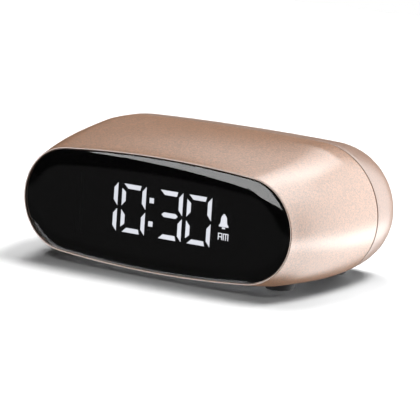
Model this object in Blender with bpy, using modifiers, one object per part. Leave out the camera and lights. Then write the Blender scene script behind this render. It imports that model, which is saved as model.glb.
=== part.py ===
"""A small bedside LCD alarm clock: a pebble-shaped shell, a smoked front lens, a rear cover with its keys,
the display stack behind the lens, a two-cell battery tray under a clip-in door, and rubber feet.

Metres, +Z up. The front faces -Y and +X runs along the long side. The origin is the bottom centre of the
whole clock's box. Every size below is in millimetres in the clock's own frame, whose y runs back from the
lens plane and whose z is 0 at the lens's centre; MM turns them into metres.
"""

import math

import bmesh
import bpy
from mathutils import Matrix, Vector

MM = 0.001

# ---- The body's driving sizes ----
FACE_HALF_WIDTH = 44.5      # lens outline, from its centre to either end
FACE_HALF_HEIGHT = 15.7     # lens outline, from its centre to the top or bottom of its bow
FACE_END_RADIUS = 14.3      # the round ends of the lens outline
FACE_LEAN = math.radians(3)  # the face leans back by this much
LIP = 0.5                   # the shell's edge, seen all round the lens
DEPTH = 52.4                # lens plane to the flat of the rear cover
SIDE_SWELL = (4.92, 1.15, 2.78)    # how far each side stands out past the lip, and the swell's two exponents
TOP_SWELL = (4.06, 1.345, 2.04)
BOTTOM_SWELL = (1.55, 2.06, 1.34)
WIDEST_Y = 29.3             # where the swell is complete
WIDEST_END_RADIUS = 19.8
REAR_INSET = 8.5            # how far the outline has drawn in at the flat of the rear
REAR_ROUNDNESS = 2.7        # exponent of that rounding, 2 being a true quarter ellipse
SEAM_Y = 36.45              # joint between the main shell and the rear cover
WALL = 1.8
SEAM_GAP = 0.3
FIT = 0.2                   # clearance between pieces that sit in one another
STACK_GAP = 0.1             # clearance between layers that lie on one another
TONGUE = (1.0, 2.2)         # the rear cover's tongue inside the shell: thickness and reach

# ---- Lens ----
LENS_BULGE = 0.78           # how far its front stands out of the lens plane
LENS_EDGE = 4.6             # width of its rounded edge
LENS_BACK_Y = 1.4
LEDGE_Y = (2.0, 3.8)        # front and back of the ledge the lens is taped to
LEDGE_WIDTH = 4.6
TAPE_INSET = (0.5, LEDGE_WIDTH - 0.6)   # lens outline in to the tape's outer and inner edges

# ---- Display stack, in the leaning frame of the face ----
LCD_SIZE = (58.0, 21.5)
LCD_Y = (5.2, 7.6)
FRAME_SIDE = (5.3, 1.75)    # thickness of its end and long walls
FRAME_Y = (4.1, 10.9)
FRAME_WINDOW = (55.0, 19.0)
FRAME_LIP = 0.9
GUIDE_HEIGHT = 18.4
GUIDE_LENGTH = 55.0
LED_LENGTH = 1.4
PCB_THICKNESS = 1.2
MAIN_PCB_Y = 11.1
ZEBRA_HEIGHT = 1.6
PCB_SCREW_Z = 9.6
GUIDE_THICKNESS = 2.7
SHEET_THICKNESS = 0.3
LED_HEIGHT = 6.0
DRIVER_DOME = (4.4, 1.5)    # radius and height of the epoxy drop
DRIVER_PLACE = (-8.0, 4.5)
CRYSTAL_RADIUS = 1.0
CRYSTAL_X = (3.0, 9.0)
CRYSTAL_Z = 3.0
CAPACITOR_SIZE = (2.5, 5.4)             # radius and height
CAPACITOR_PLACE = (18.0, 5.0)

# ---- Battery bay ----
CELL_RADIUS = 5.15
CELL_LENGTH = 44.5
CELL_Z = -9.6
SPRING_LENGTH = 4.6
TRAY_WALL = 1.0
TRAY_FRONT_Y = 13.3
CELL_PLAY = 0.35            # side play of each cell in its half of the tray
CONTACT_SIZE = (0.4, 3.8, 4.0)          # thickness, half width and half height
SPRING_TURNS = 3.5
SPRING_RADIUS = (1.9, 1.5)  # at the cell, and how much it grows towards the wall
SPRING_WIRE = 0.3
DOOR_THICKNESS = 1.4
DOOR_RIB = (9.0, 0.5, 0.35)             # half length, half width and height of a rib inside the door
TRAY_RIM_Z = -15.1

# ---- Rear controls ----
CONTROL_PITCH = 11.2
KEY_SIZE = (8.4, 4.2)
KEY_PROUD = 0.8
KEY_TRAVEL = 0.5
FLANGE = 0.9                # how far a key's flange reaches past its hole
KNOB_SIZE = (4.6, 3.0)
KNOB_TRAVEL = 2.4
KNOB_CLEARANCE = 0.4        # past each end of its slot, and to the next key
BUZZER_X = -28.6
BUZZER_RADIUS = 6.0
BUZZER_HEIGHT = 5.6
TACT_DEPTH = 3.4
TACT_HALF = 3.0
PLUNGER_RADIUS = 1.7
POST_RISE = 5.6             # the board's posts, above the row of keys
POST_RADIUS = 1.8
KEY_PCB_X = (-35.0, 34.5)
KEY_PCB_RISE = (-7.2, 8.4)  # below and above the row of keys
SWITCH_SIZE = (8.8, 3.7, 4.0)
LEVER_SIZE = 1.6
SOUND_HOLE_RADIUS = 0.8
SOUND_HOLE_PITCH = 2.6

# ---- Screws, bosses and feet ----
BOSS_MARGIN = 6.0           # end of the lens outline in to the boss's axis
BOSS_RADIUS = 2.6
TUBE_RADIUS = 3.3
SCREW_SEAT_DEPTH = 6.4      # flat of the rear in to the screw's seat
CASE_SCREW_GRIP = 6.9       # length of the case screw inside its boss
CASE_SCREW_HEAD = (2.0, 1.6)            # radius and height
CASE_SCREW_SHANK = 1.05
RIB_Y = (13.0, 33.0)        # the web that ties each boss to the side wall
RIB_HALF = 0.7
BOARD_SCREW = (1.5, 1.1, 0.7, 5.0)      # head radius and height, shank radius and length
FOOT_RADIUS = 4.0
FOOT_MARGIN = 0.95          # battery opening to the foot's edge
FRONT_FOOT_Y = 15.5
REAR_FOOT_SETBACK = 5.85    # seam to the rear feet's centres
FOOT_POCKET = 0.6
FLOOR_GAP = 0.4             # lowest part of the shell to the floor

# ---- Touch sensor and wires ----
TOUCH_PLATE = (23.0, 14.0, 28.0, 0.3)   # half length, front, back and thickness
WIRE_RADIUS = 0.55
TOUCH_WIRE_RADIUS = 0.4
RIBBON_SIZE = (8.0, 0.5)

# ---- Fineness ----
END_STEPS = 8               # facets in each quarter of a round end
BOW_STEPS = 5               # facets in each half of a bowed side
SHELL_STATIONS = (2.0, 5.5, 9.5, 14.0, 18.5, 23.0, 27.5, 32.0)
REAR_STATIONS = (0.2, 0.4, 0.58, 0.74, 0.87, 0.955, 1.0)    # shares of the way from the seam to the flat


# ---- Worked-out places ----
FRAME_SIZE = tuple(size + 2 * (FIT + side) for size, side in zip(LCD_SIZE, FRAME_SIDE))
PCB_SCREW_X = (FRAME_SIZE[0] - FRAME_SIDE[0]) / 2
BOSS_X = FACE_HALF_WIDTH - BOSS_MARGIN
REAR_IN_Y = DEPTH - WALL
SCREW_SEAT_Y = DEPTH - SCREW_SEAT_DEPTH
BOSS_END_Y = SEAM_Y - 0.55
CASE_SCREW = (*CASE_SCREW_HEAD, CASE_SCREW_SHANK, SCREW_SEAT_Y - BOSS_END_Y + CASE_SCREW_GRIP)
FLANGE_Y = REAR_IN_Y - FIT
FLANGE_DEPTH = 0.8
STEM_DEPTH = 1.4
PLUNGER_LENGTH = 2.4
PLUNGER_PROUD = 1.0
TACT_Y = FLANGE_Y - FLANGE_DEPTH - STEM_DEPTH - STACK_GAP - PLUNGER_PROUD - TACT_DEPTH
KEY_PCB_Y = TACT_Y - STACK_GAP - PCB_THICKNESS
CONTROL_Z = (TOP_SWELL[0] - BOTTOM_SWELL[0]) / 2
KEY_NAMES = ("time_key", "alarm_key", "minus_key", "plus_key")
KEY_PLACES = {name: (index - 1.5) * CONTROL_PITCH for index, name in enumerate(KEY_NAMES)}
KNOB_FLANGE = KNOB_SIZE[0] + 2 * KNOB_TRAVEL + 2 * KNOB_CLEARANCE
KNOB_X = KEY_PLACES["plus_key"] + KEY_SIZE[0] / 2 + FLANGE + KNOB_CLEARANCE + KNOB_FLANGE / 2
TRAY_INNER_LENGTH = CELL_LENGTH + SPRING_LENGTH + 2.2
TRAY_INNER_DEPTH = 4 * (CELL_RADIUS + CELL_PLAY / 2)
TRAY_REAR_Y = TRAY_FRONT_Y + TRAY_INNER_DEPTH + 2 * TRAY_WALL
TRAY_ROOF_Z = CELL_Z + CELL_RADIUS + CELL_PLAY + TRAY_WALL
OPENING_HALF = TRAY_INNER_LENGTH / 2 + TRAY_WALL + 2 * FIT
FOOT_X = OPENING_HALF + FOOT_MARGIN + FOOT_RADIUS
FOOT_Y = (FRONT_FOOT_Y, SEAM_Y + REAR_FOOT_SETBACK)
BELLY_Z = -(FACE_HALF_HEIGHT + LIP + BOTTOM_SWELL[0])
FLOOR_Z = BELLY_Z - FLOOR_GAP
FRONT_Y = -LENS_BULGE - (FACE_HALF_HEIGHT - LENS_EDGE) * math.tan(FACE_LEAN)
BACK_Y = DEPTH + KEY_PROUD
MID_Y = (FRONT_Y + BACK_Y) / 2


# ---- Scene, collections and materials ----
for old in list(bpy.data.objects):
    bpy.data.objects.remove(old, do_unlink=True)


def collection(name):
    made = bpy.data.collections.new(name)
    bpy.context.scene.collection.children.link(made)
    return made


PARTS = collection("alarm_clock")
CUTTERS = collection("cutters")


def empty(name, location, rotation=(0, 0, 0), parent=None):
    made = bpy.data.objects.new(name, None)
    made.location = Vector(location) * MM
    made.rotation_euler = rotation
    made.parent = parent
    PARTS.objects.link(made)
    return made


CLOCK = empty("clock_frame", (0, -MID_Y, -FLOOR_Z))
FACE = empty("face_frame", (0, 0, 0), rotation=(-FACE_LEAN, 0, 0), parent=CLOCK)


def material(name, colour, roughness, metallic=0.0):
    made = bpy.data.materials.new(name)
    made.use_nodes = True
    shader = made.node_tree.nodes["Principled BSDF"]
    shader.inputs["Base Color"].default_value = (*colour, 1.0)
    shader.inputs["Roughness"].default_value = roughness
    shader.inputs["Metallic"].default_value = metallic
    made.diffuse_color = (*colour, 1.0)
    return made


GOLD = material("gold_paint", (0.62, 0.40, 0.28), 0.42, 0.8)
GOLD_REAR = material("gold_rear", (0.62, 0.38, 0.29), 0.45, 0.7)
SMOKED = material("smoked_lens", (0.008, 0.008, 0.009), 0.06)
BLACK = material("black_plastic", (0.02, 0.02, 0.022), 0.5)
WHITE = material("white_plastic", (0.75, 0.75, 0.72), 0.5)
GUIDE = material("clear_acrylic", (0.85, 0.88, 0.9), 0.1)
GLASS = material("lcd_glass", (0.03, 0.03, 0.035), 0.08)
BOARD = material("circuit_board", (0.02, 0.12, 0.05), 0.45)
STEEL = material("steel", (0.55, 0.55, 0.56), 0.3, 1.0)
COPPER = material("copper_foil", (0.75, 0.35, 0.2), 0.35, 1.0)
RUBBER = material("rubber", (0.03, 0.03, 0.03), 0.8)
CELL = material("cell_wrap", (0.05, 0.16, 0.1), 0.35)
TAPE = material("foam_tape", (0.04, 0.04, 0.04), 0.9)
RED = material("red_wire", (0.5, 0.02, 0.02), 0.45)
DARK_WIRE = material("black_wire", (0.02, 0.02, 0.02), 0.45)
RIBBON = material("ribbon", (0.7, 0.7, 0.68), 0.5)


# ---- Shared builders ----
def finish(obj, mat, parent, smooth=35):
    """Gives a piece its material, parent and smooth shading, and files it with the parts."""
    obj.data.materials.append(mat)
    obj.parent = parent
    if smooth:
        obj.data.shade_smooth()
        obj.data.set_sharp_from_angle(angle=math.radians(smooth))
    PARTS.objects.link(obj)
    return obj


def mesh_object(name, bm):
    bmesh.ops.recalc_face_normals(bm, faces=bm.faces)
    mesh = bpy.data.meshes.new(name)
    bm.to_mesh(mesh)
    bm.free()
    return bpy.data.objects.new(name, mesh)


def loft(name, rings, mat, parent=CLOCK, closed=False, smooth=35):
    """Skins rings of equally many points; closed joins the last ring to the first, else both ends are capped."""
    bm = bmesh.new()
    loops = [[bm.verts.new(point * MM) for point in ring] for ring in rings]
    pairs = list(zip(loops, loops[1:]))
    if closed:
        pairs.append((loops[-1], loops[0]))
    for near, far in pairs:
        for i in range(len(near)):
            j = (i + 1) % len(near)
            bm.faces.new((near[i], near[j], far[j], far[i]))
    if not closed:
        bm.faces.new(loops[0])
        bm.faces.new(loops[-1])
    return finish(mesh_object(name, bm), mat, parent, smooth)


def box(name, low, high, mat, parent=CLOCK):
    bm = bmesh.new()
    size = Vector(high) - Vector(low)
    centre = (Vector(high) + Vector(low)) / 2
    bmesh.ops.create_cube(bm, size=1, matrix=Matrix.Translation(centre * MM) @ Matrix.Diagonal((*(size * MM), 1)))
    return finish(mesh_object(name, bm), mat, parent, smooth=0)


def cylinder(name, radius, start, end, mat, parent=CLOCK, segments=24):
    """A plain round bar between two points."""
    start, end = Vector(start), Vector(end)
    turn = (end - start).to_track_quat("Z", "Y").to_matrix().to_4x4()
    bm = bmesh.new()
    bmesh.ops.create_cone(bm, cap_ends=True, segments=segments, radius1=radius * MM, radius2=radius * MM,
                          depth=(end - start).length * MM, matrix=Matrix.Translation((start + end) / 2 * MM) @ turn)
    return finish(mesh_object(name, bm), mat, parent)


def turned(name, profile, location, direction, mat, parent=CLOCK, steps=20):
    """Revolves (radius, height) points, listed from the top down, about an axis along direction."""
    mesh = bpy.data.meshes.new(name)
    points = [(radius * MM, 0, height * MM) for radius, height in profile]
    mesh.from_pydata(points, [(i, i + 1) for i in range(len(points) - 1)], [])
    obj = bpy.data.objects.new(name, mesh)
    obj.data.materials.append(mat)
    obj.parent = parent
    obj.location = Vector(location) * MM
    obj.rotation_euler = Vector(direction).to_track_quat("Z", "Y").to_euler()
    screw = obj.modifiers.new("turn", "SCREW")
    screw.axis = "Z"
    screw.steps = screw.render_steps = steps
    screw.use_merge_vertices = True
    screw.merge_threshold = 1e-5
    screw.use_smooth_shade = True
    PARTS.objects.link(obj)
    return obj


def tube(name, points, radius, mat, parent=CLOCK, resolution=2):
    """A round wire along points, with filled ends."""
    curve = bpy.data.curves.new(name, "CURVE")
    curve.dimensions = "3D"
    curve.bevel_depth = radius * MM
    curve.bevel_resolution = resolution
    curve.use_fill_caps = True
    spline = curve.splines.new("POLY")
    spline.points.add(len(points) - 1)
    for slot, point in zip(spline.points, points):
        slot.co = (*(Vector(point) * MM), 1)
    curve.materials.append(mat)
    obj = bpy.data.objects.new(name, curve)
    obj.parent = parent
    PARTS.objects.link(obj)
    return obj


def smooth_path(points, steps=4):
    """A Catmull-Rom curve through hand-picked points."""
    points = [Vector(p) for p in points]
    padded = [2 * points[0] - points[1], *points, 2 * points[-1] - points[-2]]
    path = []
    for a, b, c, d in zip(padded, padded[1:], padded[2:], padded[3:]):
        for k in range(steps):
            t = k / steps
            path.append(0.5 * (2 * b + (c - a) * t + (2 * a - 5 * b + 4 * c - d) * t * t
                               + (3 * b - a - 3 * c + d) * t ** 3))
    return [*path, points[-1]]


def as_tool(obj):
    """Files an object with the cutters, out of the model itself."""
    PARTS.objects.unlink(obj)
    CUTTERS.objects.link(obj)
    obj.hide_render = True
    obj.display_type = "WIRE"
    return obj


def combine(target, operation, *tools):
    for tool in tools:
        modifier = target.modifiers.new(tool.name, "BOOLEAN")
        modifier.operation = operation
        modifier.solver = "EXACT"
        modifier.object = as_tool(tool)


def cut(target, *tools):
    combine(target, "DIFFERENCE", *tools)


def join(target, *tools):
    combine(target, "UNION", *tools)


def rounded(width, height, radius, y, centre=(0, 0), steps=4):
    """A rectangle with round corners, upright at depth y; radius may be half the height, for a pill."""
    points = []
    for quarter, (sx, sz) in enumerate(((1, 1), (-1, 1), (-1, -1), (1, -1))):
        for k in range(steps + 1):
            turn = math.radians(90 * quarter + 90 * k / steps)
            points.append(Vector((centre[0] + sx * (width / 2 - radius) + radius * math.cos(turn), y,
                                  centre[1] + sz * (height / 2 - radius) + radius * math.sin(turn))))
    return points


def stack(name, steps, mat, parent=CLOCK, centre=(0, 0)):
    """Rounded rectangles of (width, height, radius, y), skinned one after the other."""
    return loft(name, [rounded(w, h, r, y, centre) for w, h, r, y in steps], mat, parent)


# ---- The body's outline at any depth ----
def bowed_quarter(half_width, half_height, end_radius):
    """One quarter of an oval of four arcs, from its end to the middle of its bowed side."""
    end_radius = min(end_radius, half_height - 0.05)
    centre_x = half_width - end_radius
    bow_radius = (centre_x ** 2 + half_height ** 2 - end_radius ** 2) / (2 * (half_height - end_radius))
    meet = math.atan2(bow_radius - half_height, centre_x)
    points = []
    for k in range(END_STEPS):
        turn = meet * k / END_STEPS
        points.append((centre_x + end_radius * math.cos(turn), end_radius * math.sin(turn)))
    for k in range(BOW_STEPS + 1):
        turn = meet + (math.pi / 2 - meet) * k / BOW_STEPS
        points.append((bow_radius * math.cos(turn), half_height - bow_radius + bow_radius * math.sin(turn)))
    return points


def oval(half_width, top, bottom, end_radius):
    """The whole outline as (x, z), counter-clockwise from its right-hand end."""
    up = bowed_quarter(half_width, top, end_radius)
    down = bowed_quarter(half_width, bottom, end_radius)
    return ([*up] + [(-x, z) for x, z in reversed(up[:-1])]
            + [(-x, -z) for x, z in down[1:]] + [(x, -z) for x, z in reversed(down[1:-1])])


def swell(kind, y):
    reach, start, ease = kind
    u = min(max(y / WIDEST_Y, 0), 1)
    return reach * (1 - (1 - u ** start) ** ease)


def rear_draw(y, depth):
    """How far the outline has drawn in on its way to the flat of the rear."""
    u = min(max((y - WIDEST_Y) / (depth - WIDEST_Y), 0), 1)
    return REAR_INSET * (1 - (1 - u ** REAR_ROUNDNESS) ** (1 / REAR_ROUNDNESS))


def leaning(points, y):
    """The face leans back, and the lean fades out towards the rear."""
    share = min(max(1 - y / DEPTH, 0), 1)
    return [Vector((x, y + z * math.tan(FACE_LEAN) * share, z)) for x, z in points]


def section(y, inset=0.0, depth=DEPTH):
    """The body's outline at depth y, set in by a wall."""
    inward = inset + rear_draw(y, depth) - LIP
    blend = min(max(y / WIDEST_Y, 0), 1)
    end_radius = FACE_END_RADIUS * (1 - blend) + (WIDEST_END_RADIUS - LIP) * blend - inward
    return leaning(oval(FACE_HALF_WIDTH + swell(SIDE_SWELL, y) - inward,
                        FACE_HALF_HEIGHT + swell(TOP_SWELL, y) - inward,
                        FACE_HALF_HEIGHT + swell(BOTTOM_SWELL, y) - inward, end_radius), y)


def face_ring(y, inset):
    """The lens outline, set in, at depth y."""
    return leaning(oval(FACE_HALF_WIDTH - inset, FACE_HALF_HEIGHT - inset, FACE_HALF_HEIGHT - inset,
                        FACE_END_RADIUS - inset), y)


def belly_box(name, half_width, front_y, rear_y, top_z):
    """A block through the underside, for cutting the battery opening and its door."""
    return box(name, (-half_width, front_y, BELLY_Z - 3), (half_width, rear_y, top_z), BLACK)


# ---- Front lens and its tape ----
def build_lens():
    rings = [face_ring(LENS_BACK_Y, FIT / 2), face_ring(0, FIT / 2)]
    for k in range(1, 6):
        turn = math.radians(90 * k / 5)
        rings.append(face_ring(-LENS_BULGE * math.sin(turn), FIT / 2 + LENS_EDGE * (1 - math.cos(turn))))
    loft("front_lens", rings, SMOKED)
    front_y, back_y = LENS_BACK_Y + STACK_GAP, LEDGE_Y[0] - STACK_GAP
    outer, inner = TAPE_INSET
    tape = [(front_y, outer), (back_y, outer), (back_y, inner), (front_y, inner)]
    loft("lens_tape", [face_ring(y, inset) for y, inset in tape], TAPE, closed=True)


# ---- Main shell, with its lens ledge, screw bosses and battery opening ----
def build_main_shell():
    end_y = SEAM_Y - SEAM_GAP / 2
    outer = [section(0, 0.12), section(0.2)] + [section(y) for y in SHELL_STATIONS] + [section(end_y)]
    inner = [section(end_y, WALL)]
    inner += [section(y, WALL) for y in reversed(SHELL_STATIONS) if y > LEDGE_Y[1]]
    ledge = [section(LEDGE_Y[1], WALL), face_ring(LEDGE_Y[1], LEDGE_WIDTH), face_ring(LEDGE_Y[0], LEDGE_WIDTH),
             face_ring(LEDGE_Y[0], -FIT / 2), face_ring(0, -FIT / 2)]
    shell = loft("main_shell", outer + inner + ledge, GOLD, closed=True)
    _, _, shank, length = CASE_SCREW
    hole_end = SCREW_SEAT_Y - length - 1.5
    wall_x = FACE_HALF_WIDTH + LIP + swell(SIDE_SWELL, RIB_Y[0]) - WALL / 2
    for side, sign in (("left", -1), ("right", 1)):
        x = sign * BOSS_X
        low, high = sorted((x, sign * wall_x))
        join(shell,
             cylinder(f"boss_{side}", BOSS_RADIUS, (x, LEDGE_Y[1] - 1, CONTROL_Z), (x, BOSS_END_Y, CONTROL_Z), GOLD),
             box(f"rib_{side}", (low, RIB_Y[0], CONTROL_Z - RIB_HALF), (high, RIB_Y[1], CONTROL_Z + RIB_HALF), GOLD))
        cut(shell,
            cylinder(f"boss_hole_{side}", shank + FIT, (x, hole_end, CONTROL_Z), (x, SEAM_Y + 2, CONTROL_Z), GOLD,
                     segments=16),
            foot_pocket(f"front_pocket_{side}", sign, FOOT_Y[0]))
    cut(shell, belly_box("battery_opening", OPENING_HALF, TRAY_FRONT_Y - 2 * FIT, SEAM_Y + 3, CELL_Z))


# ---- Rear cover ----
def rear_rings(start_y, inset, depth):
    """Sections past the seam to the flat of the rear, closer together where the outline turns in."""
    return [section(start_y + (depth - start_y) * share, inset, depth) for share in REAR_STATIONS]


def build_rear_cover():
    start_y = SEAM_Y + SEAM_GAP / 2
    thickness, reach = TONGUE
    outer = [section(start_y), *rear_rings(start_y, 0, DEPTH)]
    tongue = [section(start_y, WALL + FIT), section(SEAM_Y - reach, WALL + FIT),
              section(SEAM_Y - reach, WALL + FIT + thickness)]
    inner = [section(start_y, WALL + FIT + thickness, REAR_IN_Y), *rear_rings(start_y, WALL, REAR_IN_Y)]
    cover = loft("rear_cover", list(reversed(outer)) + tongue + inner, GOLD_REAR)
    head, _, shank, _ = CASE_SCREW
    for side, sign in (("left", -1), ("right", 1)):
        x = sign * BOSS_X
        join(cover, cylinder(f"tube_{side}", TUBE_RADIUS, (x, SEAM_Y - 0.15, CONTROL_Z), (x, DEPTH - 0.6, CONTROL_Z),
                             BLACK))
        cut(cover,
            cylinder(f"seat_{side}", head + 0.3, (x, SCREW_SEAT_Y, CONTROL_Z), (x, DEPTH + 2, CONTROL_Z), BLACK),
            cylinder(f"shank_hole_{side}", shank + FIT, (x, SEAM_Y - 3, CONTROL_Z), (x, SCREW_SEAT_Y + 1, CONTROL_Z),
                     BLACK, segments=16),
            foot_pocket(f"rear_pocket_{side}", sign, FOOT_Y[1]))
    through_y = (REAR_IN_Y - 1, DEPTH + 2)
    width, height = (size + 2 * FIT for size in KEY_SIZE)
    for index, x in enumerate(KEY_PLACES.values()):
        cut(cover, stack(f"key_hole_{index}", [(width, height, height / 2, y) for y in through_y], BLACK,
                         centre=(x, CONTROL_Z)))
    slot_width = KNOB_SIZE[0] + KNOB_TRAVEL + 2 * FIT
    slot_height = KNOB_SIZE[1] + 2 * FIT
    cut(cover, stack("knob_slot", [(slot_width, slot_height, 0.7, y) for y in through_y], BLACK,
                     centre=(KNOB_X + KNOB_TRAVEL / 2, CONTROL_Z)))
    for index in range(7):
        turn = math.radians(60 * index)
        reach_out = SOUND_HOLE_PITCH if index < 6 else 0
        x, z = BUZZER_X + reach_out * math.cos(turn), CONTROL_Z + reach_out * math.sin(turn)
        cut(cover, cylinder(f"sound_hole_{index}", SOUND_HOLE_RADIUS, (x, through_y[0], z), (x, through_y[1], z),
                            BLACK, segments=12))
    post_y = KEY_PCB_Y + PCB_THICKNESS
    for sign in (-1, 1):
        x, z = sign * CONTROL_PITCH, CONTROL_Z + POST_RISE
        join(cover, cylinder(f"post_{sign}", POST_RADIUS, (x, post_y + STACK_GAP, z), (x, REAR_IN_Y + 0.6, z), BLACK,
                             segments=16))
        cut(cover, cylinder(f"post_hole_{sign}", BOARD_SCREW[2] + FIT, (x, KEY_PCB_Y, z),
                            (x, post_y + BOARD_SCREW[3], z), BLACK, segments=12))
    gap_half = OPENING_HALF + 2 * FIT
    gap_front_y = SEAM_Y - reach - 1
    lean_shift = -BELLY_Z * math.tan(FACE_LEAN) * (1 - SEAM_Y / DEPTH)
    cut(cover,
        box("tongue_gap", (-gap_half, gap_front_y, BELLY_Z - 2), (gap_half, start_y - lean_shift, CELL_Z), BLACK),
        box("tray_gap", (-gap_half, gap_front_y, BELLY_Z + WALL), (gap_half, TRAY_REAR_Y + 2 * FIT, CELL_Z), BLACK))


# ---- Feet ----
def shell_underside(y):
    """Height of the shell's flat underside at depth y."""
    return -(FACE_HALF_HEIGHT + LIP + swell(BOTTOM_SWELL, y) - rear_draw(y, DEPTH))


def foot_pocket(name, sign, y):
    """A round hole up through the shell's underside for a foot to sit in."""
    centre = (sign * FOOT_X, y)
    roof = shell_underside(y) + FOOT_POCKET
    return cylinder(name, FOOT_RADIUS + FIT, (*centre, BELLY_Z - 3), (*centre, roof), BLACK)


def build_feet():
    for row, y in zip(("front", "rear"), FOOT_Y):
        for side, sign in (("left", -1), ("right", 1)):
            height = shell_underside(y) + FOOT_POCKET - FIT - FLOOR_Z
            profile = [(0, height), (FOOT_RADIUS, height), (FOOT_RADIUS, 0.3), (FOOT_RADIUS - 0.3, 0), (0, 0)]
            turned(f"foot_{row}_{side}", profile, (sign * FOOT_X, y, FLOOR_Z), (0, 0, 1), RUBBER)


# ---- Display stack ----
def build_display():
    width, height = (size + 2 * FIT for size in LCD_SIZE)
    front, back = FRAME_Y
    rings = [rounded(*FRAME_SIZE, 3.0, front), rounded(*FRAME_SIZE, 3.0, back), rounded(width, height, 0.4, back),
             rounded(width, height, 0.4, front + FRAME_LIP), rounded(*FRAME_WINDOW, 0.4, front + FRAME_LIP),
             rounded(*FRAME_WINDOW, 0.4, front)]
    frame = loft("display_frame", rings, BLACK, FACE, closed=True)
    box("lcd_panel", (-LCD_SIZE[0] / 2, LCD_Y[0], -LCD_SIZE[1] / 2), (LCD_SIZE[0] / 2, LCD_Y[1], LCD_SIZE[1] / 2),
        GLASS, FACE)
    half = GUIDE_LENGTH / 2
    layer_y = LCD_Y[1] + STACK_GAP
    sheet_y = layer_y + GUIDE_THICKNESS + STACK_GAP
    board_near_y = MAIN_PCB_Y - STACK_GAP
    guide_top = LCD_SIZE[1] / 2
    guide_bottom = guide_top - GUIDE_HEIGHT
    box("light_guide", (-half, layer_y, guide_bottom), (half, layer_y + GUIDE_THICKNESS, guide_top), GUIDE, FACE)
    box("reflector_sheet", (-half, sheet_y, guide_bottom), (half, sheet_y + SHEET_THICKNESS, guide_top), WHITE, FACE)
    led_bottom = (guide_top + guide_bottom - LED_HEIGHT) / 2
    for side, sign in (("left", -1), ("right", 1)):
        low, high = sorted((sign * (half + FIT), sign * (half + FIT + LED_LENGTH)))
        box(f"backlight_led_{side}", (low, layer_y + 0.5, led_bottom), (high, board_near_y, led_bottom + LED_HEIGHT),
            WHITE, FACE)
    zebra_low = -LCD_SIZE[1] / 2 + 0.2
    box("zebra_strip", (-half, layer_y, zebra_low), (half, board_near_y, zebra_low + ZEBRA_HEIGHT), RUBBER, FACE)
    board = box("main_pcb", (-FRAME_SIZE[0] / 2, MAIN_PCB_Y, -FRAME_SIZE[1] / 2),
                (FRAME_SIZE[0] / 2, MAIN_PCB_Y + PCB_THICKNESS, FRAME_SIZE[1] / 2), BOARD, FACE)
    _, _, shank, length = BOARD_SCREW
    seat = MAIN_PCB_Y + PCB_THICKNESS + STACK_GAP
    for index, (sx, sz) in enumerate(((-1, 1), (1, 1), (-1, -1), (1, -1)), start=1):
        x, z = sx * PCB_SCREW_X, sz * PCB_SCREW_Z
        cut(board, cylinder(f"board_hole_{index}", shank + FIT, (x, MAIN_PCB_Y - 1, z), (x, seat + 1, z), BOARD, FACE,
                            12))
        cut(frame, cylinder(f"frame_hole_{index}", shank + FIT, (x, seat - length - 0.5, z), (x, FRAME_Y[1] + 1, z),
                            BOARD, FACE, 12))
        pan_screw(f"board_screw_{index}", BOARD_SCREW, (x, seat, z), (0, 1, 0), FACE)


def pan_screw(name, sizes, seat, direction, parent=CLOCK, steps=14):
    """A pan-head screw whose head stands on its seat and whose shank runs the other way."""
    head, head_height, shank, length = sizes
    turned(name, [(0, head_height * 0.55), (head * 0.3, head_height * 0.6), (head * 0.42, head_height),
                  (head * 0.8, head_height * 0.8), (head, head_height * 0.35), (head, 0), (shank, 0),
                  (shank, -length + shank), (0, -length)], seat, direction, STEEL, parent, steps)


def build_board_parts():
    """What stands on the back of the main board, above the battery tray's roof."""
    back = MAIN_PCB_Y + PCB_THICKNESS + STACK_GAP
    radius, height = DRIVER_DOME
    dome = [(radius * math.sin(math.radians(a)), height * math.cos(math.radians(a))) for a in (0, 25, 50, 70, 90)]
    turned("driver_chip", [*dome, (0, 0)], (DRIVER_PLACE[0], back, DRIVER_PLACE[1]), (0, 1, 0), BLACK, FACE)
    crystal_y = back + CRYSTAL_RADIUS
    ends = [(x, crystal_y, CRYSTAL_Z) for x in CRYSTAL_X]
    cylinder("quartz_crystal", CRYSTAL_RADIUS, *ends, STEEL, FACE, 16)
    radius, height = CAPACITOR_SIZE
    can = [(0, height), (radius - 0.3, height), (radius, height - 0.3), (radius, 0), (0, 0)]
    turned("capacitor", can, (CAPACITOR_PLACE[0], back, CAPACITOR_PLACE[1]), (0, 1, 0), BLACK, FACE, 16)


# ---- Battery tray, cells, contacts and door ----
def cell_y(index):
    return TRAY_FRONT_Y + TRAY_WALL + (2 * index + 1) * (CELL_RADIUS + CELL_PLAY / 2)


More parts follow.
